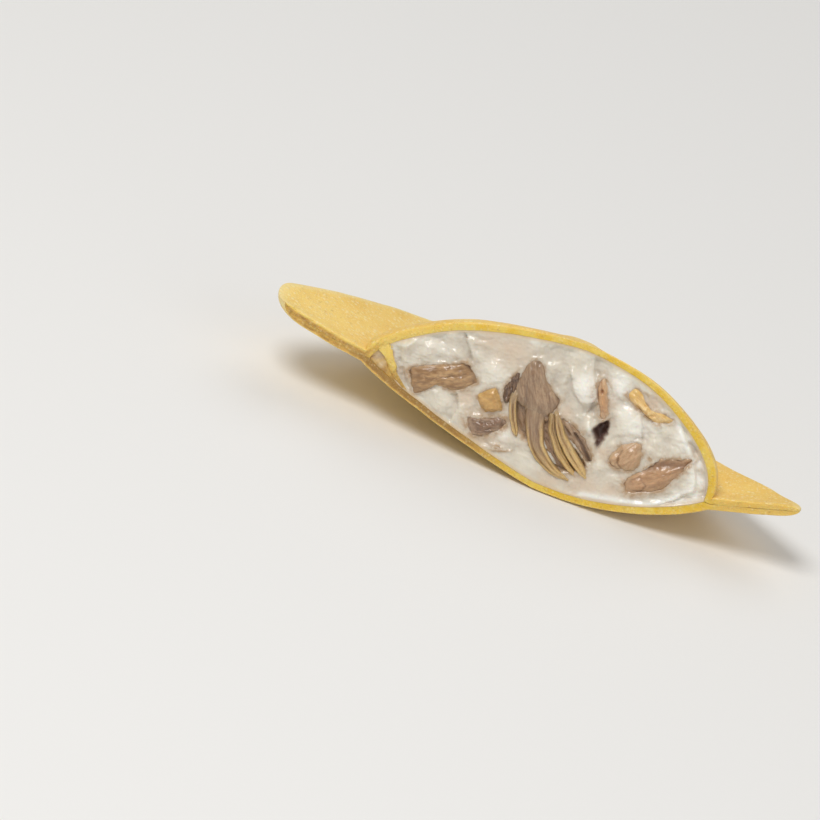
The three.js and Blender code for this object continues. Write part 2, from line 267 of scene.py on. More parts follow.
def bottomOuter(spoke, r):
    level = underside(spoke, r, 0) + undulation(spoke, r)
    return softMax(level, tableLevel(spoke, r), laid["pressBlend"]) + roundingAt(spoke, r)


def bottomInner(spoke, r):
    level = underside(spoke, r, innerInset) + undulation(spoke, r)
    pressed = softMax(level, tableLevel(spoke, r), laid["pressBlend"]) + thickness(spoke, r)
    return min(pressed, seamLevel(spoke, r) - crackWidth(spoke, r))


# Making closed pieces from grids

mergeDistance = 1e-4
sharpAngle = 1.1


def fanGrid(columns, rows, extraLayers=()):
    bm = bmesh.new()
    layers = {key: bm.verts.layers.float.new(key) for key in ("column", "row", "side", *extraLayers)}
    bmesh.ops.create_grid(bm, x_segments=columns, y_segments=rows, size=0.5)
    for v in bm.verts:
        v[layers["column"]] = round((v.co.x + 0.5) * columns)
        v[layers["row"]] = round((v.co.y + 0.5) * rows)
    grown = bmesh.ops.extrude_face_region(bm, geom=bm.faces[:], use_keep_orig=True)
    for item in grown["geom"]:
        if isinstance(item, bmesh.types.BMVert):
            item[layers["side"]] = 1
    return bm, layers


def wallAt(bm, layer, value):  # the faces between the two sides at one column or row
    return [f for f in bm.faces if all(abs(v[layer] - value) < 0.5 for v in f.verts)]


def divideWall(bm, layers, wall, cuts):
    edges = dict.fromkeys(e for f in wall for e in f.edges)
    crossing = [e for e in edges if abs(e.verts[0][layers["side"]] - e.verts[1][layers["side"]]) > 0.5]
    bmesh.ops.subdivide_edges(bm, edges=crossing, cuts=cuts)


def finishPiece(bm, layers, name, materials, node):
    bmesh.ops.remove_doubles(bm, verts=bm.verts[:], dist=mergeDistance)
    bmesh.ops.recalc_face_normals(bm, faces=bm.faces[:])
    bmesh.ops.transform(bm, matrix=toTable, verts=bm.verts[:])
    for f in bm.faces:
        f.smooth = True
    for e in bm.edges:
        e.smooth = e.calc_face_angle(0) < sharpAngle
    for key in ("column", "row"):
        bm.verts.layers.float.remove(layers[key])
    mesh = bpy.data.meshes.new(name)
    bm.to_mesh(mesh)
    bm.free()
    for material in materials:
        mesh.materials.append(material)
    piece = bpy.data.objects.new(name, mesh)
    bpy.context.scene.collection.objects.link(piece)
    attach(piece, "root")
    if node:
        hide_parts(node)
    print(name, len(mesh.polygons), "faces")


# The two sheets and the cream: layers over the fan of spokes

def makeLayer(spokes, shares, reach, outer, inner, cutRows, cutDepth, extraLayers=()):
    bm, layers = fanGrid(len(spokes) - 1, len(shares) - 1, extraLayers)
    bmesh.ops.delete(bm, geom=wallAt(bm, layers["row"], 0), context="FACES_ONLY")
    cut = wallAt(bm, layers["column"], 0) + wallAt(bm, layers["column"], len(spokes) - 1)
    for f in cut:
        f.material_index = 1
    divideWall(bm, layers, cut, cutRows)
    levels = {}
    for v in bm.verts:
        key = (round(v[layers["column"]]), round(v[layers["row"]]))
        if key not in levels:
            spoke = spokes[key[0]]
            r = reach(spoke, shares[key[1]])
            levels[key] = (*flatPlace(spoke, r), outer(spoke, r), inner(spoke, r))
        x, y, outerLevel, innerLevel = levels[key]
        side = v[layers["side"]]
        z = mix(outerLevel, innerLevel, side)
        if key[0] in (0, len(spokes) - 1):
            y = cutDepth(v, layers, x, z, side, abs(outerLevel - innerLevel))
        v.co = (x, y, z)
    return bm, layers


def doughReach(spoke, share):
    if share <= 1:
        return share * spoke["foot"]
    return mix(spoke["foot"], spoke["edge"], share - 1)


def doughCut(v, layers, x, z, side, height):  # unevenness of the cut
    more, start, end = dough["knifeRough"]
    marks = noiseAt(x * 1.7, z * 2.3, 4) + 0.6 * noiseAt(x * 5, z * 6, 2)
    return dough["knifeMarks"] * (1 + more * smoothStep(start, end, x)) * marks


def crowded(rings, power):
    return [1 - (1 - i / rings) ** power for i in range(rings + 1)]


def doughShares():
    pocket = crowded(dough["pocketRings"], dough["pocketCrowding"])
    rim = crowded(dough["rimRings"], dough["rimCrowding"])
    return pocket[:-1] + [1 + share for share in rim]


cutTints = {  # start, end and strength of each tint, along the cut or from the outer to the inner face
    "rim": (-18.5, -21.5, 1),
    "rimPale": (0.6, 0, 1),
    "rimBrown": (0.1, 0.6, 1),
    "pocketPale": (-9, -17, 0.6),
    # painted highlight along the outer edge of the cut
    "outerHighlight": (0.2, 0, 0.4),
    # browner lower cut toward the left end: rougher, wetter dough colour, partly painted shade
    "lowerBrownAndShade": (2, -7, 1),
    # painted highlight along the outer edge of the lower cut
    "lowerHighlight": (0.16, 0, 0.7),
    # painted shade on the lower cut toward the left end, weaker at its outer edge
    "shade": (-1, -9, 1),
    "shadeEnd": (-24, -20, 1),
    "shadeAcross": (0.1, 0.35, 1),
    # painted highlight along the natural edge of the dough
    "thin": (0.86, 1, 1),  # these two across the rim
    "pocket": (0.04, -0.04, 1),
}


def tintShare(name, value):
    start, end, strength = cutTints[name]
    return strength * smoothStep(start, end, value)


def upperTint(x, side):  # brown, pale and shaded shares of the cut of the upper sheet
    rim = tintShare("rim", x)
    inPocket = (1 - rim) * tintShare("pocketPale", x)
    pale = max(rim * tintShare("rimPale", side), inPocket, tintShare("outerHighlight", side))
    return rim * tintShare("rimBrown", side), pale, 0


def lowerTint(x, side):
    shade = tintShare("shade", x) * tintShare("shadeEnd", x) * tintShare("shadeAcross", side)
    return tintShare("lowerBrownAndShade", x) * mix(1, 0.8, side), tintShare("lowerHighlight", side), shade


def makeSheet(name, node, outer, inner, tint):
    shares = doughShares()
    bm, layers = makeLayer(makeSpokes(dough["spokes"]), shares, doughReach, outer, inner, dough["cutRows"],
                           doughCut, ("thin", "pocket", "brown", "pale", "shade"))
    for v in bm.verts:
        v[layers["brown"]], v[layers["pale"]], v[layers["shade"]] = tint(v.co.x, v[layers["side"]])
        for key in ("thin", "pocket"):
            v[layers[key]] = tintShare(key, shares[round(v[layers["row"]])] - 1)
    finishPiece(bm, layers, name, [doughMaterial, doughCutMaterial], node)


# Mushroom pieces: outlines in x and z of the cut, fronts and backs along y. Their bumps are given
# by x, z, radius and height, and their slits by the points of a line, its width and its strength.

mushrooms = {
    "slabLeft": {
        "node": "mushroom_slab_left",
        "outline": [(-15.9, -2.1), (-15.2, -1.2), (-12.6, 0.2), (-11.2, 0.7), (-10.0, 1.5), (-9.0, 1.4),
                    (-8.0, 0.5), (-7.5, -0.4), (-8.7, -1.7), (-10.0, -2.4), (-12.0, -2.5), (-12.8, -3.5),
                    (-14.2, -4.6), (-15.0, -3.3)],
        "front": -0.1, "back": 3.6, "fibre": 24, "look": "brown", "relief": 0.7, "soft": 0.3,
        "bumps": [(-14.6, -3.2, 0.35, 0.3), (-11.6, -0.3, 0.7, 0.25), (-9.6, -0.5, 0.6, 0.25),
                  (-13.4, -1.6, 0.8, 0.15)],
        "slits": [([(-15.5, -1.9), (-15.2, -2.6), (-14.8, -3.8)], 0.13, 0.8),
                  ([(-11.6, 0.75), (-10.4, 1.2), (-9.4, 1.3), (-8.7, 0.8)], 0.14, 0.8),
                  ([(-9.6, 1.2), (-9.2, 1.1)], 0.32, 1),
                  ([(-13.2, -2.2), (-11.5, -1.2), (-10.2, -0.5), (-9.2, 0.2)], 0.12, 0.35),
                  ([(-8.2, 0.2), (-8.0, -0.6)], 0.2, 0.5)],
    },
    "cube": {
        "node": "mushroom_cube",
        "outline": [(-7.1, -1.6), (-5.4, 0.1), (-4.3, -0.9), (-3.6, -2.2), (-4.6, -2.9), (-5.5, -3.3),
                    (-6.4, -2.6)],
        "front": -0.3, "back": 2.4, "fibre": 20, "look": "golden", "relief": 0.5, "tension": 0.12,
        "soft": 0.15,
        "bumps": [(-5.6, -0.9, 0.9, 0.2)],
        "slits": [([(-6.6, -2.5), (-5.5, -3.1), (-4.6, -2.8)], 0.25, 0.3)],
    },
    "strip": {
        "node": "mushroom_strip",
        "outline": [(5.6, 5.5), (5.8, 6.2), (6.2, 6.1), (6.9, 5.4), (7.2, 4.3), (7.8, 3.1), (8.3, 1.9),
                    (7.9, 1.2), (7.2, 1.4), (6.9, 2.3), (6.2, 3.3), (5.5, 4.5)],
        "front": 0, "back": 2.6, "fibre": -62, "look": "rust", "relief": 1.6, "soft": 1,
        "bumps": [(7.1, 3.0, 0.5, 0.15)],
        "slits": [([(6.3, 4.6), (6.4, 4.4)], 0.18, 1), ([(5.6, 4.6), (6.4, 3.2), (7.0, 2.1)], 0.2, 0.6)],
    },
    "sliver": {
        "node": "mushroom_sliver",
        "outline": [(9.1, 5.2), (9.7, 6.3), (10.7, 6.2), (11.4, 5.4), (12.2, 4.8), (13.0, 4.5),
                    (14.2, 4.7), (15.8, 4.4), (15.0, 3.6), (13.8, 3.2), (12.6, 3.4), (11.6, 3.8),
                    (10.7, 4.2), (9.9, 4.6)],
        "front": -0.1, "back": 1.8, "fibre": -25, "look": "straw", "relief": 1.3, "soft": 0.4,
        "bumps": [(10.0, 5.6, 0.4, 0.2), (11.9, 4.5, 0.4, 0.15), (14.1, 3.9, 0.5, 0.2)],
        "slits": [([(12.3, 3.7), (13.0, 4.1)], 0.12, 0.4),
                  ([(10.9, 4.5), (11.6, 4.0), (12.3, 3.6)], 0.1, 0.4),
                  ([(12.8, 3.4), (14.0, 3.5), (15.2, 3.9)], 0.4, 0.35)],
    },
    "lump": {
        "node": "mushroom_lump",
        "outline": [(10.1, -2.6), (10.7, -0.9), (11.8, 0.1), (13.0, 0.4), (13.7, -1.0), (13.9, -2.3),
                    (13.1, -3.4), (11.6, -3.7), (10.5, -3.5)],
        "front": -0.1, "back": 3.4, "fibre": 60, "look": "tan", "relief": 0.8, "soft": 0.6,
        "bumps": [(12.6, -1.4, 1.1, 0.35), (10.6, -2.4, 0.5, 0.3), (11.3, -0.8, 0.5, 0.15)],
        "slits": [([(11.3, -1.2), (11.1, -2.0), (11.3, -2.9), (12.0, -3.4)], 0.11, 0.6),
                  ([(10.4, -3.3), (11.4, -3.6)], 0.12, 0.4)],
    },
    "slabRight": {
        "node": "mushroom_slab_right",
        "outline": [(14.5, -2.2), (15.8, -0.3), (17.5, 0.3), (18.9, 1.0), (19.6, 0.8), (19.2, -0.6),
                    (18.4, -2.1), (17.7, -3.7), (16.4, -4.8), (14.8, -5.5), (13.6, -6.1), (12.7, -4.4)],
        "front": 0.05, "back": 4.2, "fibre": 38, "look": "mauve", "relief": 0.8, "soft": 0.6,
        "bumps": [(15.9, -0.6, 0.4, 0.3), (17.3, -0.1, 0.4, 0.3), (18.8, 0.7, 0.4, 0.3),
                  (14.4, -4.2, 0.8, 0.35), (16.9, -2.6, 1.1, 0.2)],
        "slits": [([(14.8, -1.9), (16.4, -1.0), (17.8, -0.5), (19.2, 0.1)], 0.55, 0.8),
                  ([(13.2, -4.4), (14.4, -3.4), (15.4, -4.2), (15.2, -5.0), (14.2, -5.3)], 0.1, 0.5)],
    },
    "flakeLow": {
        "node": "mushroom_flake_low",
        "outline": [(-7.4, -4.6), (-5.9, -4.2), (-4.4, -3.4), (-3.0, -2.9), (-2.4, -3.4), (-2.8, -4.4),
                    (-3.8, -5.4), (-4.8, -6.2), (-6.2, -6.4)],
        "front": 0.0, "back": 2.2, "fibre": 15, "look": "haze", "relief": 1.6, "soft": 1,
        "bumps": [(-5.4, -5.2, 0.9, 0.2), (-3.6, -4.0, 0.6, 0.2)],
        "slits": [([(-4.3, -3.9), (-3.4, -3.6), (-2.9, -4.0)], 0.45, 0.5)],
    },
}

capFlesh = {
    "outline": [(-2.2, 5.2), (-2.9, 4.3), (-3.4, 2.8), (-3.6, 1.1), (-3.1, -0.3), (-1.6, -0.9),
                (0.2, -1.8), (1.6, -1.4), (2.3, -0.3), (2.5, 1.2), (2.1, 1.8), (0.8, 2.5), (-0.4, 3.7),
                (-1.3, 5.0)],
    "front": -0.15, "back": 3.2, "fibre": -62, "look": "grey", "relief": 0.65, "soft": 0.3,
    "bumps": [(-1.9, 3.4, 0.9, 0.25), (0.9, 0.9, 1.0, 0.2)],
    "slits": [([(-3.3, 2.3), (-3.5, 1.3), (-3.3, 0.3)], 0.2, 0.6),
              ([(1.6, 2.0), (2.35, 1.3), (2.2, -0.2), (1.5, -0.9)], 0.2, 0.7),
              ([(-2.2, 1.6), (-1.5, 0.2), (-1.3, -0.9)], 0.16, 0.5),
              ([(-2.1, 4.9), (-1.6, 4.6)], 0.16, 0.4)],
}

capShade = {  # the dark flesh that shows left of the cap, partly painted shade of the crease there
    "outline": [(-3.3, 3.1), (-4.0, 2.2), (-4.4, 1.0), (-4.5, -0.2), (-4.1, -1.4), (-3.3, -1.5),
                (-2.8, 0.5)],
    "front": 0.05, "back": 3.2, "fibre": -70, "look": "dark", "relief": 2.2, "soft": 0.5,
    "bumps": [(-3.9, 1.9, 0.3, 0.3), (-4.2, 0.5, 0.25, 0.3), (-3.8, -0.9, 0.3, 0.3)], "slits": [],
}

# a darker backing of flesh behind the gills, partly painted shade of the gaps between them
gillBed = {
    "outline": [(-2.9, -0.1), (-2.3, -2.6), (-0.9, -4.2), (1.4, -5.3), (4.5, -6.8), (7.6, -5.9),
                (8.7, -4.2), (7.0, -1.9), (4.4, -0.6), (1.0, 0.2)],
    "front": 0.6, "back": 3.2, "fibre": -50, "look": "bed", "relief": 1.8, "soft": 0.4,
    "bumps": [(3.2, -4.5, 0.5, 0.35)], "slits": [],
}

gillFlesh = {  # the paler flesh beyond the last gill
    "outline": [(2.9, -0.2), (4.3, -0.4), (6.0, -1.0), (8.1, -2.9), (8.7, -3.9), (8.3, -4.6), (6.3, -3.3),
                (4.1, -2.0)],
    "front": 0.1, "back": 3.2, "fibre": -42, "look": "grey", "relief": 1.3, "soft": 0.5,
    "bumps": [(4.6, -1.1, 0.6, 0.2)],
    "slits": [([(5.4, -1.5), (6.3, -2.2), (7.3, -3.1), (8.3, -4.2)], 0.2, 1),
              ([(4.0, -1.3), (4.8, -1.9)], 0.14, 0.5)],
}

gills = [  # centre line, its widths, front, share of the edge colour at the start, crests and grooves
    {"line": [(-3.1, 1.2), (-2.9, -0.7), (-2.2, -2.5), (-1.4, -3.8), (-0.9, -4.5)],
     "widths": (0.9, 1.0, 0.95, 0.75, 0.45), "front": -0.3, "start": 0.2, "crests": (-0.6, 0.75),
     "grooves": (0.1,)},
    {"line": [(-0.3, 0.6), (0.4, -2.0), (1.3, -4.0), (2.7, -5.6), (4.5, -6.6), (6.7, -7.1)],
     "widths": (2.3, 2.2, 2.0, 1.7, 1.2, 0.5), "front": -0.35, "start": 0, "crests": (-0.85, 0.75),
     "grooves": (-0.55, 0.3)},
    {"line": [(1.6, 0.2), (2.1, -0.9), (2.8, -2.5), (4.2, -4.2), (5.8, -5.5), (7.4, -6.4)],
     "widths": (0.5, 0.8, 0.95, 1.0, 0.85, 0.6), "front": -0.1, "start": 0.4, "crests": (-0.3,),
     "grooves": (0.4,)},
    {"line": [(2.2, 0.2), (2.8, -0.6), (3.8, -2.1), (5.3, -3.6), (7.1, -5.0), (8.5, -6.1)],
     "widths": (0.5, 0.8, 1.1, 1.3, 1.25, 0.8), "front": -0.35, "start": 0.4, "crests": (-0.65, 0.6),
     "grooves": (-0.1,)},
]

gapGlint = {
    "line": [(2.0, -3.4), (2.6, -4.3), (3.6, -5.2), (4.6, -5.9)], "widths": (0.2, 0.5, 0.55, 0.2),
    "front": 0.1, "start": 0, "crests": (), "grooves": (),
}

gillShape = {
    "columns": 100,
    "rows": 18,
    "back": 3,
    "sway": 0.09,
    "crest": 0.12,
    "crestWidth": 0.2,
    "groove": 0.2,
    "grooveWidth": 0.17,
    "grooveEnds": (0.15, 0.35, 0.75),  # along the gill: where the grooves begin, are full and begin to end
    "edgeRound": 0.6,
    "tipRound": 0.2,
    "rootDrop": 0.45,  # how far the start of the gill lies back, and up to where along it
    "rootEnd": 0.16,
    "unevenness": 0.07,
    "fineUnevenness": 0.05,
}

chunkShape = {
    "around": 96,
    "rings": 28,
    "wallRows": 3,
    "dome": 0.2,
    "edgeDrop": 0.4,  # how far the rim of the front falls back
    "backDrop": 0.2,
    "streaks": 0.13,
    "streakSizes": (2.4, 0.4),  # how fast they change across and along the fibres
    "fineStreaks": 0.0585,
    "fineSizes": (6.5, 0.9),
    "bend": 0.5,
    "pits": 0.08,
    "tension": 0.4,
    "raggedness": 0.2,
    "softRagged": 0.4,  # how much more ragged a soft piece is
    "slitDepth": 0.28,
    # how much painted shade the slits get
    "slitShade": 0.8,
    "slitSway": 0.12,
    "edgeBlend": (9, 1.7),  # power of the change to the edge colour, for firm and soft pieces
}


def curvePoint(t, b, c, startSlope, endSlope):
    return ((2 * t ** 3 - 3 * t ** 2 + 1) * b + (t ** 3 - 2 * t ** 2 + t) * startSlope
            + (3 * t ** 2 - 2 * t ** 3) * c + (t ** 3 - t ** 2) * endSlope)


def closedCurve(points, count, tension=chunkShape["tension"]):
    corners = [Vector(point) for point in points]
    size = len(corners)
    curve = []
    for i in range(count):
        k = int(i / count * size)
        a, b, c, d = (corners[(k + n) % size] for n in (-1, 0, 1, 2))
        curve.append(curvePoint(i / count * size - k, b, c, (c - a) * tension, (d - b) * tension))
    return curve


def fibrePlace(x, z, fibre):  # across and along the fibres
    angle = math.radians(fibre)
    return z * math.cos(angle) - x * math.sin(angle), x * math.cos(angle) + z * math.sin(angle)


def fibreHeight(x, z, fibre, seed):
    across, along = fibrePlace(x, z, fibre)
    bend = chunkShape["bend"] * noiseAt(x * 0.7, z * 0.7, seed + 9)
    height = chunkShape["pits"] * noiseAt(x * 2.6, z * 2.6, seed + 7)
    for depth, sizes, layer in (("streaks", "streakSizes", 0), ("fineStreaks", "fineSizes", 3)):
        wide, long = chunkShape[sizes]
        height += chunkShape[depth] * noiseAt(across * wide + bend, along * long, seed + layer)
    return height


def setFibreUv(bm, uvLayer, fibre):
    for f in bm.faces:
        for loop in f.loops:
            loop[uvLayer].uv = fibrePlace(loop.vert.co.x, loop.vert.co.z, fibre)


def bell(distance, width, height=1):
    return height * math.exp(-(distance / width) ** 2)


def segmentPlace(x, z, first, second):  # offset from the nearest point of a segment, and its sign
    ex, ez = second[0] - first[0], second[1] - first[1]
    px, pz = x - first[0], z - first[1]
    share = min(1, max(0, (px * ex + pz * ez) / (ex * ex + ez * ez + 1e-12)))
    return math.hypot(px - ex * share, pz - ez * share), math.copysign(1, ex * pz - ez * px)


def lineDistance(x, z, line):  # distance to an open line, and 1 left of it or -1 right of it
    return min((segmentPlace(x, z, first, second) for first, second in zip(line, line[1:])),
               key=lambda place: place[0])


def slitDepth(x, z, slits):
    depths = (bell(lineDistance(x, z, line)[0], width, strength) for line, width, strength in slits)
    return max(depths, default=0)


def spotSum(x, z, spots):
    return sum(bell(math.hypot(x - cx, z - cz), radius, strength) for cx, cz, radius, strength in spots)


def makeChunkMesh(chunk, seed, extraLayers=()):
    around, rings = chunkShape["around"], chunkShape["rings"]
    bm, layers = fanGrid(around, rings, ("deep", "blend", *extraLayers))
    uvLayer = bm.loops.layers.uv.new("fibres")
    inner = [f for key, value in (("row", 0), ("column", 0), ("column", around))
             for f in wallAt(bm, layers[key], value)]
    bmesh.ops.delete(bm, geom=inner, context="FACES_ONLY")
    divideWall(bm, layers, wallAt(bm, layers["row"], rings), chunkShape["wallRows"])
    edge = closedCurve(chunk["outline"], around, chunk.get("tension", chunkShape["tension"]))
    middle = sum(edge, Vector((0, 0))) / around
    for v in bm.verts:
        share = v[layers["row"]] / rings
        place = middle.lerp(edge[round(v[layers["column"]]) % around], share)
        ragged = chunkShape["raggedness"] * noiseAt(place.x * 1.5, place.y * 1.5, seed + 11)
        ragged *= 1 + chunkShape["softRagged"] * chunk["soft"]
        place = place + (place - middle).normalized() * (ragged * share)
        side = v[layers["side"]]
        front = chunk["front"] - chunkShape["dome"] * (1 - share * share)
        front += chunkShape["edgeDrop"] * share ** 5
        front += chunk["relief"] * fibreHeight(place.x, place.y, chunk["fibre"], seed)
        front -= spotSum(place.x, place.y, chunk["bumps"])
        sway = chunkShape["slitSway"] * noiseAt(place.x * 1.8, place.y * 1.8, seed + 15)
        slit = slitDepth(place.x + sway, place.y - sway, chunk["slits"])
        front += chunkShape["slitDepth"] * slit
        v.co = (place.x, mix(front, chunk["back"] + chunkShape["backDrop"] * share, side), place.y)
        # painted shade: darker toward the back of the walls and in the slits
        v[layers["deep"]] = min(1, smoothStep(0, 1, side * 2) + chunkShape["slitShade"] * slit)
        v[layers["blend"]] = share ** mix(*chunkShape["edgeBlend"], chunk["soft"])
    setFibreUv(bm, uvLayer, chunk["fibre"])
    bmesh.ops.remove_doubles(bm, verts=bm.verts[:], dist=mergeDistance)
    return bm, layers


def pointOnLine(points, t):
    size = len(points) - 1
    place = min(t * size, size - 1e-6)
    k = int(place)
    t = place - k
    b, c = Vector(points[k]), Vector(points[k + 1])
    a = Vector(points[k - 1]) if k > 0 else 2 * b - c
    d = Vector(points[k + 2]) if k + 2 <= size else 2 * c - b
    return curvePoint(t, b, c, (c - a) / 2, (d - b) / 2)


def valueOnLine(values, t):
    place = min(t * (len(values) - 1), len(values) - 1 - 1e-6)
    k = int(place)
    return mix(values[k], values[k + 1], place - k)


def alongLine(points, t):
    return (pointOnLine(points, min(1, t + 0.01)) - pointOnLine(points, max(0, t - 0.01))).normalized()


def bells(across, centres, width):
    return max((bell(across - centre, width) for centre in centres), default=0)


def makeGillMesh(gill, seed):
    columns, rows = gillShape["columns"], gillShape["rows"]
    bm, layers = fanGrid(columns, rows, ("deep", "blend"))
    uvLayer = bm.loops.layers.uv.new("fibres")
    grooveStart, grooveFull, grooveEnd = gillShape["grooveEnds"]
    for v in bm.verts:
        t = v[layers["column"]] / columns
        s = v[layers["row"]] / rows * 2 - 1
        along = alongLine(gill["line"], t)
        half = valueOnLine(gill["widths"], t) / 2 * math.sqrt(max(0.3, 1 - smoothStep(0.9, 1, t) ** 2))
        sway = gillShape["sway"] * noiseAt(t * 7, seed, s * 0.6)
        place = pointOnLine(gill["line"], t) + Vector((-along.y, along.x)) * (s * half + sway)
        side = v[layers["side"]]
        across = s + 0.12 * noiseAt(t * 6, seed, 4)
        crests = bells(across, gill["crests"], gillShape["crestWidth"])
        grooves = bells(across, gill["grooves"], gillShape["grooveWidth"])
        grooves *= smoothStep(grooveStart, grooveFull, t) * smoothStep(1, grooveEnd, t)
        front = gill["front"] + gillShape["edgeRound"] * (1 - math.sqrt(1 - 0.96 * s * s))
        front += gillShape["tipRound"] * smoothStep(0.85, 1, t)
        front += gillShape["groove"] * grooves - gillShape["crest"] * crests
        front += gillShape["rootDrop"] * smoothStep(gillShape["rootEnd"], 0, t)
        front += gillShape["unevenness"] * noiseAt(s * 2.5, t * 9, seed + 4)
        front += gillShape["fineUnevenness"] * noiseAt(s * 7, t * 16, seed)
        v.co = (place.x, mix(front, gillShape["back"], side), place.y)
        # painted shade: darker on the walls, at the sides and in the grooves
        v[layers["deep"]] = smoothStep(0, 1, side * 3 + 0.5 * abs(s) ** 6 + 0.45 * grooves)
        ochre = max(0.8 * smoothStep(0.3, 0.9, t), crests * smoothStep(0.12, 0.4, t))
        v[layers["blend"]] = mix(gill["start"], 1, ochre)
    for f in bm.faces:
        for loop in f.loops:
            row, column = loop.vert[layers["row"]], loop.vert[layers["column"]]
            loop[uvLayer].uv = (row / rows * 2, column / columns * 9)
    return bm, layers


def addMesh(target, source, materialIndex):
    for f in source.faces:
        f.material_index = materialIndex
    mesh = bpy.data.meshes.new("part")
    source.to_mesh(mesh)
    source.free()
    target.from_mesh(mesh)
    bpy.data.meshes.remove(mesh)


def makeMushrooms():
    for index, (name, chunk) in enumerate(mushrooms.items()):
        bm, layers = makeChunkMesh(chunk, 20 + index * 3)
        finishPiece(bm, layers, name, [looks[chunk["look"]]], chunk["node"])
    bm, layers = makeChunkMesh(capFlesh, 61)
    for chunk, seed, materialIndex in ((capShade, 65, 2), (gillBed, 67, 3), (gillFlesh, 69, 0)):
        addMesh(bm, makeChunkMesh(chunk, seed)[0], materialIndex)
    for index, gill in enumerate(gills):
        addMesh(bm, makeGillMesh(gill, 71 + index)[0], 1)
    addMesh(bm, makeGillMesh(gapGlint, 79)[0], 4)
    layers = {key: bm.verts.layers.float[key] for key in ("column", "row")}
    materials = [looks[key] for key in ("grey", "gill", "dark", "bed")] + [creamMaterial]
    finishPiece(bm, layers, "gilledSlice", materials, "mushroom_gilled_slice")


# The fold of dough that closes the left end of the pocket

endFold = {
    "outline": [(-20.9, -0.5), (-20.0, 0.1), (-19.2, 0.6), (-18.7, 0.6), (-18.6, 0.1), (-18.3, -0.5),
                (-17.8, -1.2), (-17.1, -2.0), (-16.8, -2.9), (-16.3, -3.6), (-15.5, -4.2), (-14.2, -5.0),
                (-15.0, -4.95), (-15.9, -4.4), (-16.9, -3.8), (-17.7, -3.15), (-18.5, -2.3),
                (-19.4, -1.2)],
    "front": 0.02, "back": 2.5, "fibre": -50, "relief": 0.5, "soft": 0,
    "bumps": [(-18.4, -1.2, 0.5, 0.08)], "slits": [([(-18.8, 0.75), (-18.5, 0.55)], 0.25, 1)],
    "brownFrom": (-1.6, -3.4),  # it darkens between these levels
    "pale": 0.65,
}


def makeEndFold():
    bm, layers = makeChunkMesh(endFold, 91, ("brown", "pale"))
    for v in bm.verts:
        v[layers["brown"]] = smoothStep(*endFold["brownFrom"], v.co.z)
        v[layers["pale"]] = endFold["pale"] * (1 - v[layers["brown"]])
    finishPiece(bm, layers, "endFold", [doughCutMaterial], None)


# The cream and the relief of its cut face

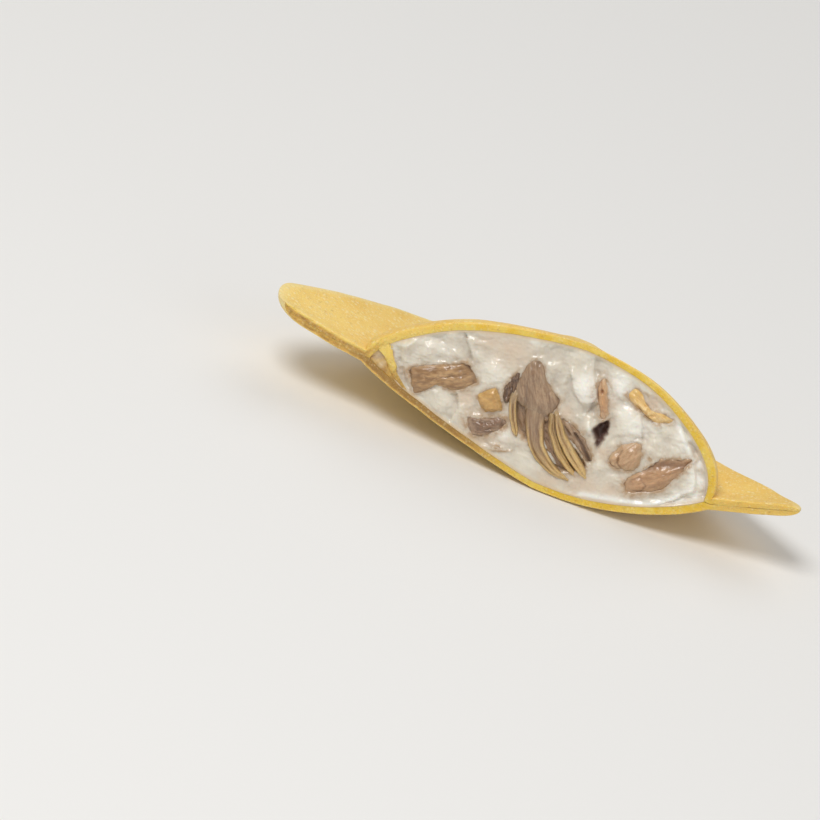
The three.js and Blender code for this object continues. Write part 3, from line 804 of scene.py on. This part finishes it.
cream = {
    "node": "cream_filling",
    "spokes": 60,
    "rings": 150,
    "cutRows": 130,
    "curds": [(2.9, 0.85, 1.7), (1.15, 0.34, 4.1)],  # size, depth and seed of its large and small lumps
    "curdMiddle": 0.3,
    "curdMelt": 7,  # the higher, the sharper the creases between them
    "swell": 0.25,
    "grains": [(0.09, 2.9, 9), (0.035, 7, 2)],  # depth, fineness and seed of the finest relief
    "calm": 0.85,  # how much of the lumps the smooth stretches lose
    "warp": 1.1,  # how far the patterns are bent, and over what length
    "warpSize": 2.6,
    "recess": 0.02,  # how far it lies behind the cut
    "fade": 0.8,
    "sunk": 1.3,  # how far it lies back behind the pieces
    "clearance": 0.02,  # between it and the sheets
    "bumps": [  # x, z, radius and height of the lumps that stand out
        (4.3, 4.3, 1.7, 0.6), (4.9, 3.5, 1.2, 0.35), (3.1, 6.3, 1.2, 0.5), (2.0, 4.9, 0.9, 0.4),
        (7.9, 5.7, 1.3, 0.5), (8.7, 7.4, 0.9, 0.3), (-10.4, -4.3, 1.9, 0.4), (-15.1, -5.6, 0.5, 0.4),
        (-6.2, 1.8, 1.4, 0.6), (-14.4, 1.7, 1.4, 0.5), (-17.0, 0.6, 1.1, 0.5), (-11.1, 2.6, 1.3, 0.35),
        (13.5, 3.0, 1.3, 0.4), (11.4, 2.0, 1.2, 0.4), (17.6, 2.6, 1.2, 0.35), (19.4, -0.6, 1.0, 0.4),
        (6.6, -0.2, 0.6, 0.6), (9.9, 3.0, 1.2, 0.3), (-2.4, -4.9, 0.9, 0.4), (0.0, 4.6, 1.0, 0.3),
        (-16.4, -1.2, 0.7, 0.4), (10.0, 0.4, 0.8, 0.35),
    ],
    "smooth": [  # x, z and radius of the stretches without lumps
        (-5.3, 4.8, 2.6), (0, -8.2, 3.0), (5, -8.2, 3.0), (-4.4, 6.8, 2), (10, -6.8, 2.4),
        (-10.4, -4.3, 1.7), (-6.2, 1.8, 1.3), (4.3, 3.9, 1.8),
    ],
    "white": [  # x, z, radius and strength of the whitest lumps and of painted highlights
        (4.3, 4.4, 1.7, 1), (4.9, 3.5, 1.3, 1), (8.0, 5.8, 1.7, 1), (-6.2, 1.6, 1.6, 0.4),
        (20.7, -1.4, 1.1, 1), (20.9, -3.0, 0.9, 1), (19.9, 0.5, 0.8, 0.9), (11.8, 1.8, 1.7, 0.9),
        (-3.2, 7.1, 0.6, 0.8), (17.6, 2.6, 1.4, 0.6), (-15.1, -5.6, 0.6, 0.8), (-13.2, 2.0, 1.5, 0.3),
        (6.9, -0.5, 0.5, 1), (13.5, 3.0, 1.2, 0.7), (19.7, -3.9, 1.0, 0.8), (-2.4, -4.9, 0.8, 0.8),
        (16.6, -6.2, 0.8, 0.7), (4.0, -4.9, 0.35, 0.8), (9.0, -4.0, 0.7, 0.4), (10.1, 3.2, 1.4, 0.7),
    ],
    "pink": [  # x, z and radius of the stretches tinged by mushroom or by the dough
        (-5.3, 4.8, 2.4), (-4.6, -4.4, 2.6), (-5.2, -6.6, 1.4), (12.4, 5.3, 1.4), (7.2, 3.4, 1.1),
        (14.2, -5.2, 1.6), (3.6, 0.4, 1.0), (-15.6, -2.4, 0.8), (-8.2, -2.4, 1.2), (-3.9, 0.8, 1.1),
        (-8.0, 5.2, 1.5), (22.3, -3.6, 1.5), (20.0, -6.2, 1.8), (12.0, -7.4, 2.0), (8.3, -7.4, 2.2),
        (4.6, -8.2, 1.6), (9.4, -2.6, 0.9), (-1.0, -1.0, 0.7), (16.5, -3.5, 1.3),
    ],
    "brown": [  # x, z and radius of the stretches stained by mushroom
        (-4.0, -3.8, 1.1), (-4.4, -5.0, 1.3), (-3.8, 0.6, 0.6), (7.3, 2.6, 0.6), (14.0, -5.6, 0.9),
        (-8.6, -1.2, 0.8), (-6.6, -4.6, 0.6), (15.0, -0.9, 0.5), (-5.5, -5.3, 1.0), (-3.0, -4.3, 0.6),
    ],
    "strands": [  # thin tan strands of mushroom, by their points
        [(-4.6, -7.7), (-3.9, -7.2), (-3.1, -6.85), (-2.3, -6.75)],
        [(-3.6, -7.3), (-2.2, -6.95), (-0.8, -6.4)],
        [(-3.4, -6.6), (-2.6, -6.4), (-1.9, -6.5)],
    ],
    "steps": [  # crisp edges of lumps, with the lower cream on their left
        [(4.2, 7.9), (4.6, 6.6), (4.9, 5.8), (5.4, 4.7), (5.9, 3.5), (5.9, 2.9)],
        [(5.9, 2.9), (5.4, 2.5), (4.6, 2.4), (3.5, 3.2), (2.6, 4.4)],
        [(11.2, 4.1), (12.0, 2.9), (12.5, 1.7)], [(-8.9, 1.6), (-9.6, 2.9), (-10.5, 4.0)],
        [(-8.7, -6.3), (-8.3, -4.2), (-9.1, -2.7)], [(-16.9, -2.3), (-16.1, -3.5), (-14.8, -4.6)],
    ],
    "stepDrop": 0.45,
    "stepWidth": 0.22,
    "stepReach": 2.4,
    "strandWidth": 0.16,
    "strandHeight": 0.24,
    "paste": (-17.9, -18.7),  # between these it turns to the paste at the left end
    "pastePale": [(-19.8, -1.9, 0.6), (-19.0, -2.5, 0.4)],
    "ledge": {  # the step along the right end, by its corners: beyond it the cream is smeared on the dough
        "line": [(16.2, 4.6), (17.3, 3.3), (18.8, 1.8), (20.1, -0.2), (21.0, -2.6), (19.7, -3.9),
                 (18.2, -5.4), (16.6, -6.6), (12.5, -7.6), (9.0, -8.4)],
        "from": 7,  # nothing of it shows left of this
        "drop": 0.5,
        "edge": (0.35, 0.42),  # place and width of the painted highlight along its edge
    },
}

hollow = {
    "outline": [(7.0, -0.2), (8.4, 1.4), (8.9, 0.2), (8.7, -1.4), (8.4, -2.3), (7.6, -1.2)], "depth": 1.7,
}


def outlineDistance(x, z, edge):  # negative inside
    inside = False
    for (bx, bz), (cx, cz) in zip(edge, edge[1:] + edge[:1]):
        if (cz > z) != (bz > z):
            inside = inside != (x < (bx - cx) * (z - cz) / (bz - cz) + cx)
    nearest = lineDistance(x, z, edge + edge[:1])[0]
    return -nearest if inside else nearest


def outlineBox(edge, margin):
    xs, zs = [p[0] for p in edge], [p[1] for p in edge]
    return min(xs) - margin, max(xs) + margin, min(zs) - margin, max(zs) + margin


def embeddedOutline(chunk, margin=1.6, count=28):
    edge = [tuple(point) for point in closedCurve(chunk["outline"], count)]
    return edge, outlineBox(edge, margin), chunk.get("soft")


otherChunks = (capFlesh, capShade, gillBed, gillFlesh, endFold)
embedded = [embeddedOutline(chunk) for chunk in (*mushrooms.values(), *otherChunks)]
hollowEdge, hollowBox, _ = embeddedOutline(hollow, 1.2, 24)


def nearby(x, z, box):
    return box[0] < x < box[1] and box[2] < z < box[3]


def spotShare(x, z, spots, power=1):  # a spot may end in a strength
    return max((*strength, 1)[0] * math.exp(-(((x - cx) ** 2 + (z - cz) ** 2) / radius ** 2) ** power)
               for cx, cz, radius, *strength in spots)


def meltedDistance(x, z, size, seed):  # distance to the middle of the nearest curd, without creases
    distances = noise.voronoi(Vector((x / size, z / size * 1.15, seed)))[0]
    melt = cream["curdMelt"]
    return -math.log(sum(math.exp(-melt * d) for d in distances)) / melt


def curdRelief(x, z, bentX, bentZ):
    depth = cream["swell"] * noiseAt(x * 0.8, z * 0.9, 5)
    for size, height, seed in cream["curds"]:
        depth += height * (meltedDistance(bentX, bentZ, size, seed) - cream["curdMiddle"])
    depth *= 1 - cream["calm"] * spotShare(x, z, cream["smooth"])
    for height, fineness, seed in cream["grains"]:
        depth += height * noiseAt(x * fineness, z * fineness, seed)
    return depth - spotSum(x, z, cream["bumps"])


def stepFall(x, z):
    fall = 0
    for line in cream["steps"]:
        distance, side = lineDistance(x, z, line)
        if side > 0 and distance < cream["stepReach"]:
            fading = smoothStep(cream["stepReach"], 0.3, distance)
            fall += fading * smoothStep(0, cream["stepWidth"], distance)
    return cream["stepDrop"] * fall


def creamDepth(v, layers, x, z, side, height):
    edgeDistance = min(side, 1 - side) * height
    fade = smoothStep(0, cream["fade"], edgeDistance)
    size = cream["warpSize"]
    bend = [cream["warp"] * noiseAt(x / size, z / size, seed) for seed in (11, 23)]

    def bent(share):
        return x + share * bend[0], z + share * bend[1]

    depth = curdRelief(x, z, *bent(1)) + stepFall(*bent(0.3))
    ledge = cream["ledge"]
    past = -9  # distance past the ledge, towards the dough
    if x > ledge["from"]:
        distance, way = lineDistance(*bent(0.25), ledge["line"])
        past = distance * way
    depth += ledge["drop"] * smoothStep(-0.15, 0.15, past)
    place, width = ledge["edge"]
    # whitest lumps together with painted highlights, among them the bright edge of the ledge
    white = max(spotShare(x, z, cream["white"], 1.5), bell(past + place, width))
    stain = 0.8 * spotShare(*bent(0.4), cream["brown"], 1.3)
    pink = max(spotShare(*bent(0.5), cream["pink"], 1.3), 0.75 * smoothStep(0.1, 0.5, past))
    relief = depth
    for line in cream["strands"]:
        strand = bell(lineDistance(x, z, line)[0], cream["strandWidth"])
        depth -= cream["strandHeight"] * strand
        stain = max(stain, 0.75 * strand)
    for edge, box, soft in embedded:
        if nearby(x, z, box):
            distance = outlineDistance(x, z, edge) + 0.22 * noiseAt(x * 1.7, z * 1.7, 31)
            depth = mix(depth, min(depth, 0.05), smoothStep(0.6, 0, distance))
            depth += cream["sunk"] * smoothStep(-0.1, -0.9, distance)
            halo = math.exp(-max(0, distance) / mix(0.15, 0.45, soft))
            stain = max(stain, mix(0.55, 0.75, soft) * halo)
    # the hole is painted dark: partly the brown of the mushroom within, partly painted shade
    hole = 0
    if nearby(x, z, hollowBox):
        distance = outlineDistance(x, z, hollowEdge) + 0.15 * noiseAt(x * 2.5, z * 2.5, 3)
        depth += hollow["depth"] * smoothStep(0.15, -0.6, distance)
        hole = smoothStep(0.2, -0.3, distance)
    paste = smoothStep(*cream["paste"], x + (z + 1) * 0.62)
    patch = 0.8 * paste * spotShare(*bent(0.6), cream["pastePale"])
    values = {
        "stain": min(1, stain * (1 - paste)), "white": max(0, white - 0.8 * paste),
        "pink": max(pink, patch),
        # painted shade: greyer where the relief lies deeper
        "valley": smoothStep(-0.05, 0.6, relief) * fade, "rim": 1 - smoothStep(0, 0.55, edgeDistance),
        "hollow": hole, "paste": paste * (1 - 0.6 * patch),
    }
    for key, value in values.items():
        v[layers[key]] = value
    return cream["recess"] + depth * fade + 0.1 * paste


def creamReach(spoke, share):
    return share * (spoke["foot"] - innerInset)


def creamTop(spoke, r):
    return topInner(spoke, r) - cream["clearance"]


def creamBottom(spoke, r):
    return bottomInner(spoke, r) + cream["clearance"]


def makeCream():
    shares = [i / cream["rings"] for i in range(cream["rings"] + 1)]
    bm, layers = makeLayer(makeSpokes(cream["spokes"]), shares, creamReach, creamTop, creamBottom,
                           cream["cutRows"], creamDepth,
                           ("stain", "white", "pink", "valley", "rim", "hollow", "paste"))
    for f in bm.faces:
        f.material_index = 0
    finishPiece(bm, layers, "creamFilling", [creamMaterial], cream["node"])


# Node groups and materials

def feed(tree, socket, value):  # by a link, or with a value of its own
    if isinstance(value, bpy.types.NodeSocket):
        tree.links.new(value, socket)
    else:
        socket.default_value = (*value, 1) if isinstance(value, tuple) else value


def addNode(tree, kind, settings=None, **inputs):
    node = tree.nodes.new(kind)
    for key, value in (settings or {}).items():
        setattr(node, key, value)
    for key, value in inputs.items():
        feed(tree, node.inputs[key.replace("_", " ")], value)
    return node


def mixColours(tree, factor, first, second):
    node = addNode(tree, "ShaderNodeMix", {"data_type": "RGBA"})
    for place, value in ((0, factor), (6, first), (7, second)):
        feed(tree, node.inputs[place], value)
    return node.outputs[2]


def calculate(tree, operation, first, second):
    node = addNode(tree, "ShaderNodeMath", {"operation": operation})
    for place, value in enumerate((first, second)):
        feed(tree, node.inputs[place], value)
    return node.outputs[0]


def scaled(tree, value, share):
    return calculate(tree, "MULTIPLY", value, share)


def stretched(tree, value, low, high):
    return addNode(tree, "ShaderNodeMapRange", {"interpolation_type": "SMOOTHSTEP"},
                   Value=value, From_Min=low, From_Max=high).outputs["Result"]


def noiseTexture(tree, vector, scale, detail, roughness):
    return addNode(tree, "ShaderNodeTexNoise", None, Vector=vector, Scale=scale, Detail=detail,
                   Roughness=roughness).outputs["Fac"]


def makeGroup(name, inputs, outputs, fill):
    group = bpy.data.node_groups.new(name, "ShaderNodeTree")
    for label, kind, value in inputs:
        socket = group.interface.new_socket(label, in_out="INPUT", socket_type=kind)
        if value is not None:
            socket.default_value = value
    for label, kind in outputs:
        group.interface.new_socket(label, in_out="OUTPUT", socket_type=kind)
    start = group.nodes.new("NodeGroupInput")
    end = group.nodes.new("NodeGroupOutput")
    for label, value in fill(group, start.outputs).items():
        group.links.new(value, end.inputs[label])
    return group


def speckCells(tree, given, scale, reach):
    cells = addNode(tree, "ShaderNodeTexVoronoi", {"feature": "F1"}, Vector=given["Vector"],
                    Scale=scaled(tree, given["Scale"], scale), Randomness=1.0)
    chosen = addNode(tree, "ShaderNodeSeparateColor", None, Color=cells.outputs["Color"])
    size = scaled(tree, chosen.outputs["Red"], reach)
    return stretched(tree, calculate(tree, "SUBTRACT", size, cells.outputs["Distance"]), -0.12, 0.22)


def fillGrain(tree, given):  # pale semolina specks, dark pores and the fine tooth of rolled dough
    fine = scaled(tree, speckCells(tree, given, 1.5, 0.55), 0.6)
    specks = calculate(tree, "MAXIMUM", speckCells(tree, given, 0.8, 0.5), fine)
    pore = noiseTexture(tree, given["Vector"], scaled(tree, given["Scale"], 0.72), 3.0, 0.7)
    tooth = noiseTexture(tree, given["Vector"], scaled(tree, given["Scale"], 0.35), 5.0, 0.65)
    pores = stretched(tree, pore, 0.44, 0.28)
    raised = calculate(tree, "SUBTRACT", specks, scaled(tree, pores, 0.7))
    height = calculate(tree, "ADD", raised, scaled(tree, tooth, 2.0))
    return {"Specks": specks, "Pores": pores, "Tooth": tooth, "Height": height}


def fillPatches(tree, given):  # soft change between two colours
    factor = stretched(tree, noiseTexture(tree, given["Vector"], given["Scale"], 3.0, 0.55), 0.38, 0.62)
    return {"Color": mixColours(tree, factor, given["Color A"], given["Color B"]), "Factor": factor}


def fillStreaks(tree, given):  # fibres along the second direction of the map
    stretch = addNode(tree, "ShaderNodeCombineXYZ", None, X=1.0, Y=given["Stretch"], Z=1.0)
    drawn = addNode(tree, "ShaderNodeMapping", {"vector_type": "POINT"}, Vector=given["Vector"],
                    Scale=stretch.outputs["Vector"]).outputs["Vector"]
    wide = noiseTexture(tree, drawn, given["Scale"], 4.0, 0.6)
    fine = noiseTexture(tree, drawn, scaled(tree, given["Scale"], 3.2), 3.0, 0.6)
    spots = noiseTexture(tree, given["Vector"], scaled(tree, given["Scale"], 1.4), 4.0, 0.7)
    together = calculate(tree, "ADD", scaled(tree, wide, 0.6), scaled(tree, fine, 0.4))
    return {"Streaks": stretched(tree, together, 0.36, 0.64), "Spots": stretched(tree, spots, 0.5, 0.68),
            "Height": together}


number, colourKind = "NodeSocketFloat", "NodeSocketColor"
vectorInput = ("Vector", "NodeSocketVector", None)
grainGroup = makeGroup("doughGrain", [vectorInput, ("Scale", number, 2200.0)],
                       [(label, number) for label in ("Specks", "Pores", "Tooth", "Height")], fillGrain)
patchGroup = makeGroup("softPatches", [vectorInput, ("Scale", number, 100.0), ("Color A", colourKind, None),
                                       ("Color B", colourKind, None)],
                       [("Color", colourKind), ("Factor", number)], fillPatches)
streakGroup = makeGroup("fibreStreaks", [vectorInput, ("Scale", number, 2.0), ("Stretch", number, 0.2)],
                        [(label, number) for label in ("Streaks", "Spots", "Height")], fillStreaks)


def useGroup(tree, group, vector, scale, **inputs):
    settings = {"node_tree": group}
    return addNode(tree, "ShaderNodeGroup", settings, Vector=vector, Scale=scale, **inputs).outputs


def painted(tree, colour, coats):  # mask, strength and colour of each coat
    for mask, strength, paint in coats:
        mask = attribute(tree, mask) if isinstance(mask, str) else mask
        colour = mixColours(tree, scaled(tree, mask, strength), colour, paint)
    return colour


def newMaterial(name):
    material = bpy.data.materials.new(name)
    material.use_nodes = True
    tree = material.node_tree
    return material, tree, tree.nodes["Principled BSDF"]


def objectPlace(tree):
    return tree.nodes.new("ShaderNodeTexCoord").outputs["Object"]


def attribute(tree, name):
    return addNode(tree, "ShaderNodeAttribute", {"attribute_name": name}).outputs["Fac"]


def setShader(tree, shader, colour, height, bump, scatter, **values):
    strength, distance = bump
    weight, radius = scatter
    relief = addNode(tree, "ShaderNodeBump", None, Height=height, Strength=strength, Distance=distance)
    feed(tree, shader.inputs["Normal"], relief.outputs["Normal"])
    feed(tree, shader.inputs["Base Color"], colour)
    shader.inputs["Subsurface Weight"].default_value = weight
    shader.inputs["Subsurface Radius"].default_value = radius
    shader.inputs["Subsurface Scale"].default_value = 1.0
    for key, value in values.items():
        feed(tree, shader.inputs[key.replace("_", " ")], value)


doughLook = {
    "golden": (0.92, 0.64, 0.18),
    "deep": (0.85, 0.54, 0.115),
    "speck": (0.97, 0.80, 0.42),
    "pore": (0.58, 0.33, 0.06),
    # colour of the painted highlight along the natural edges
    "edge": (0.95, 0.76, 0.36),
    "patchScale": 95.0,
    "grainScale": 2300.0,
    "roughness": (0.42, 0.66),
    "bump": (0.4, 0.00013),  # strength and distance
    "scatter": (0.12, (0.0016, 0.0008, 0.0002)),  # weight and radius of the light within it
    "cut": (0.83, 0.52, 0.045),
    "cutPale": (0.87, 0.61, 0.12),
    "cutInner": (0.70, 0.36, 0.04),
    "cutBrown": (0.47, 0.245, 0.06),
    "cutTan": (0.66, 0.375, 0.09),
    # colour of the painted shade on the lower cut
    "cutPaintedShade": (0.30, 0.155, 0.04),
    "cutRight": (0.022, 0.025),  # the cut turns duller between these, beyond the right end of the pocket
    "cutDull": (0.80, 0.50, 0.125),
    "cutPatchScale": 520.0,
    "cutGrainScale": 3200.0,
    "cutRoughScale": 1500.0,
    "cutBump": (0.45, 0.00015),
    "cutScatter": (0.2, (0.002, 0.001, 0.0002)),
    "cutRoughness": 0.5,
}


def makeDoughMaterial():
    material, tree, shader = newMaterial("eggDough")
    place = objectPlace(tree)
    patches = useGroup(tree, patchGroup, place, doughLook["patchScale"],
                       Color_A=doughLook["golden"], Color_B=doughLook["deep"])
    grain = useGroup(tree, grainGroup, place, doughLook["grainScale"])
    # the rim highlight coat is a painted highlight along the natural edges
    colour = painted(tree, patches["Color"], [
        (grain["Specks"], 0.6, doughLook["speck"]), (grain["Pores"], 0.4, doughLook["pore"]),
        ("thin", 0.6, doughLook["edge"]),
    ])
    smooth, rough = doughLook["roughness"]
    sheen = addNode(tree, "ShaderNodeMapRange", None, Value=grain["Tooth"], To_Min=smooth, To_Max=rough)
    setShader(tree, shader, colour, grain["Height"], doughLook["bump"], doughLook["scatter"],
              Roughness=sheen.outputs["Result"])
    return material


def makeDoughCutMaterial():
    material, tree, shader = newMaterial("eggDoughCut")
    place = objectPlace(tree)
    patches = useGroup(tree, patchGroup, place, doughLook["cutPatchScale"],
                       Color_A=doughLook["cut"], Color_B=doughLook["cutPale"])
    rough = useGroup(tree, patchGroup, place, doughLook["cutRoughScale"],
                     Color_A=doughLook["cutBrown"], Color_B=doughLook["cutTan"])
    grain = useGroup(tree, grainGroup, place, doughLook["cutGrainScale"])
    inner = scaled(tree, stretched(tree, attribute(tree, "side"), 0.62, 1.0), attribute(tree, "pocket"))
    across = addNode(tree, "ShaderNodeSeparateXYZ", None, Vector=place).outputs["X"]
    # the pale coat is partly a paler golden tone and partly a painted highlight along the outer edges of
    # the cut
    colour = painted(tree, patches["Color"], [
        (inner, 1, doughLook["cutInner"]),
        (stretched(tree, across, *doughLook["cutRight"]), 0.7, doughLook["cutDull"]),
        ("brown", 0.9, rough["Color"]), ("pale", 1, doughLook["golden"]),
        # painted shade of the lower cut
        ("shade", 0.75, doughLook["cutPaintedShade"]),
        (grain["Pores"], 0.5, doughLook["pore"]), (grain["Specks"], 0.25, doughLook["speck"]),
    ])
    setShader(tree, shader, colour, grain["Height"], doughLook["cutBump"], doughLook["cutScatter"],
              Roughness=doughLook["cutRoughness"])
    return material


creamLook = {
    "body": (0.80, 0.735, 0.61),
    # grey of the random patches, and of the painted shade in the deeper parts of the relief
    "valley": (0.60, 0.525, 0.425),
    # colour of the whitest lumps and of the painted highlights
    "white": (1.0, 0.96, 0.87),
    "pink": (0.72, 0.58, 0.44),
    "stain": (0.46, 0.295, 0.165),
    "rim": (0.80, 0.57, 0.33),
    # dark of the hole, partly painted shade
    "hollow": (0.20, 0.115, 0.09),
    "paste": (0.66, 0.40, 0.10),
    "pasteDark": (0.46, 0.25, 0.06),
    "patchScale": 420.0,
    "mottleScale": 1100.0,
    "grainScale": 900.0,
    "bump": (0.5, 0.00035),
    "scatter": (0.3, (0.002, 0.0014, 0.0009)),
    "roughness": 0.32,
    "coat": (0.5, 0.1),  # weight and roughness
}


def makeCreamMaterial():
    material, tree, shader = newMaterial("ricottaCream")
    place = objectPlace(tree)
    patches = useGroup(tree, patchGroup, place, creamLook["patchScale"],
                       Color_A=creamLook["body"], Color_B=creamLook["valley"])
    mottle = useGroup(tree, patchGroup, place, creamLook["mottleScale"],
                      Color_A=creamLook["pasteDark"], Color_B=creamLook["paste"])
    mottled = scaled(tree, attribute(tree, "stain"), calculate(tree, "ADD", mottle["Factor"], 0.45))
    body = mixColours(tree, 0.35, creamLook["body"], patches["Color"])
    colour = painted(tree, body, [
        ("valley", 0.7, creamLook["valley"]), ("pink", 0.85, creamLook["pink"]),
        ("white", 0.9, creamLook["white"]),
        (calculate(tree, "MINIMUM", mottled, 0.9), 1, creamLook["stain"]), ("rim", 0.75, creamLook["rim"]),
        ("paste", 1, mottle["Color"]), ("hollow", 1, creamLook["hollow"]),
    ])
    coat, coatRough = creamLook["coat"]
    setShader(tree, shader, colour, noiseTexture(tree, place, creamLook["grainScale"], 5.0, 0.62),
              creamLook["bump"], creamLook["scatter"], Roughness=creamLook["roughness"],
              Coat_Weight=coat, Coat_Roughness=coatRough)
    return material


mushroomFinish = {
    "bump": (0.5, 0.0003),
    "scatter": (0.15, (0.002, 0.001, 0.0006)),
    "roughness": 0.36,
    "coat": (0.5, 0.12),
}

mushroomLooks = {  # light and dark flesh, edges, the painted shade of deep sides, slits and grooves, scale and stretch of the fibres
    "brown": ((0.58, 0.355, 0.17), (0.27, 0.145, 0.06), (0.46, 0.29, 0.15), (0.10, 0.05, 0.03), 1.0, 0.32),
    "golden": ((0.67, 0.41, 0.145), (0.49, 0.275, 0.09), (0.64, 0.40, 0.15), (0.30, 0.15, 0.05), 1.0, 0.6),
    "straw": ((0.95, 0.68, 0.34), (0.76, 0.45, 0.13), (0.88, 0.58, 0.22), (0.38, 0.19, 0.05), 1.2, 0.3),
    "rust": ((0.72, 0.42, 0.20), (0.45, 0.225, 0.095), (0.69, 0.50, 0.34), (0.24, 0.09, 0.04), 1.3, 0.3),
    "tan": ((0.65, 0.42, 0.24), (0.45, 0.265, 0.135), (0.60, 0.43, 0.27), (0.22, 0.12, 0.06), 1.4, 0.3),
    "mauve": ((0.60, 0.355, 0.19), (0.39, 0.215, 0.105), (0.60, 0.41, 0.25), (0.2, 0.1, 0.055), 1.1, 0.25),
    "haze": ((0.32, 0.185, 0.105), (0.13, 0.07, 0.04), (0.54, 0.375, 0.255), (0.15, 0.08, 0.05), 1.2, 0.4),
    "grey": ((0.47, 0.32, 0.20), (0.25, 0.15, 0.085), (0.40, 0.265, 0.155), (0.11, 0.06, 0.04), 1.6, 0.2),
    "gill": ((0.46, 0.315, 0.195), (0.27, 0.165, 0.095), (0.83, 0.56, 0.21), (0.20, 0.10, 0.04), 1.7, 0.14),
    # the backing behind the gills, partly painted shade of the gaps
    "bed": ((0.42, 0.27, 0.16), (0.22, 0.125, 0.07), (0.50, 0.36, 0.23), (0.10, 0.05, 0.03), 2.0, 0.2),
    # the dark flesh left of the cap, partly painted shade
    "dark": ((0.27, 0.165, 0.10), (0.10, 0.055, 0.035), (0.20, 0.12, 0.08), (0.05, 0.028, 0.018), 2.0, 0.3),
}


def makeMushroomMaterial(name, look):
    light, dark, edge, deep, scale, stretch = look
    material, tree, shader = newMaterial(name + "Mushroom")
    fibres = addNode(tree, "ShaderNodeUVMap", {"uv_map": "fibres"}).outputs["UV"]
    streaks = useGroup(tree, streakGroup, fibres, scale, Stretch=stretch)
    # deep is painted shade on the walls, in slits and in grooves
    colour = painted(tree, mixColours(tree, streaks["Streaks"], dark, light), [
        ("blend", 0.8, edge), (streaks["Spots"], 0.5, dark), ("deep", 1, deep),
    ])
    coat, coatRough = mushroomFinish["coat"]
    setShader(tree, shader, colour, streaks["Height"], mushroomFinish["bump"], mushroomFinish["scatter"],
              Roughness=mushroomFinish["roughness"], Coat_Weight=coat, Coat_Roughness=coatRough)
    return material


doughMaterial = makeDoughMaterial()
doughCutMaterial = makeDoughCutMaterial()
creamMaterial = makeCreamMaterial()
looks = {name: makeMushroomMaterial(name, look) for name, look in mushroomLooks.items()}
print("materials made")

makeSheet("doughTop", "dough_top_sheet", topOuter, topInner, upperTint)
makeSheet("doughBottom", "dough_bottom_sheet", bottomOuter, bottomInner, lowerTint)
print("dough made")
makeEndFold()
makeMushrooms()
print("mushrooms made")
makeCream()
print("cream made")


# Floor, light and camera

studio = {
    "floorSize": 1.6,
    "floorColour": (0.82, 0.81, 0.79),
    "floorRoughness": 0.7,
    "world": 0.36,
    "worldColour": (1, 0.99, 0.97),
    "lights": [  # name, place, size and power
        ("key", (-0.20, -0.27, 0.55), 0.28, 2.3),
        ("fill", (0.45, -0.35, 0.25), 0.5, 0.45),
        ("back", (0.1, 0.40, 0.5), 0.5, 0.75),
    ],
}

view = {  # how the photograph sees the food, in the food's own frame
    "elevation": 14,
    "azimuth": 0,
    "roll": 22.18,
    "aim": (-13.74, 0, -6.42),
    "distance": 620,
    "imageWidth": 820,
    "pixelsPerMillimetre": 8.46,
    "sensor": 36,
    "nearest": 0.01,
}


def makeStudio():
    bm = bmesh.new()
    bmesh.ops.create_grid(bm, x_segments=1, y_segments=1, size=studio["floorSize"])
    mesh = bpy.data.meshes.new("floor")
    bm.to_mesh(mesh)
    bm.free()
    material, tree, shader = newMaterial("paleFloor")
    feed(tree, shader.inputs["Base Color"], studio["floorColour"])
    feed(tree, shader.inputs["Roughness"], studio["floorRoughness"])
    mesh.materials.append(material)
    floor = bpy.data.objects.new("floor", mesh)
    bpy.context.scene.collection.objects.link(floor)
    world = bpy.data.worlds.new("studio")
    world.use_nodes = True
    sky = world.node_tree.nodes["Background"]
    feed(world.node_tree, sky.inputs["Color"], studio["worldColour"])
    feed(world.node_tree, sky.inputs["Strength"], studio["world"])
    bpy.context.scene.world = world
    bpy.context.scene.view_settings.view_transform = "Standard"
    for name, place, size, power in studio["lights"]:
        lamp = bpy.data.lights.new(name, "AREA")
        lamp.shape = "DISK"
        lamp.size = size
        lamp.energy = power
        light = bpy.data.objects.new(name, lamp)
        light.location = place
        light.rotation_euler = Vector(place).to_track_quat("Z", "Y").to_euler()
        bpy.context.scene.collection.objects.link(light)


def makeCamera():
    elevation, azimuth, roll = (math.radians(view[key]) for key in ("elevation", "azimuth", "roll"))
    right = Vector((math.cos(azimuth), math.sin(azimuth), 0))
    away = Vector((math.sin(azimuth), -math.cos(azimuth), 0))
    towards = away * math.cos(elevation) + Vector((0, 0, math.sin(elevation)))
    up = towards.cross(right)
    rolledRight = math.cos(roll) * right + math.sin(roll) * up
    rolledUp = math.cos(roll) * up - math.sin(roll) * right
    inFood = Matrix((rolledRight, rolledUp, towards)).transposed()
    camera = bpy.data.cameras.new("camera")
    camera.sensor_width = view["sensor"]
    seenWidth = view["imageWidth"] / view["pixelsPerMillimetre"]
    camera.lens = view["sensor"] * view["distance"] / seenWidth
    camera.clip_start = view["nearest"]
    seat = bpy.data.objects.new("camera", camera)
    place = toTable @ (Vector(view["aim"]) + towards * view["distance"])
    seat.matrix_world = Matrix.Translation(place) @ (leaning.to_3x3() @ inFood).to_4x4()
    bpy.context.scene.collection.objects.link(seat)
    bpy.context.scene.camera = seat


makeStudio()
makeCamera()
print("studio made")
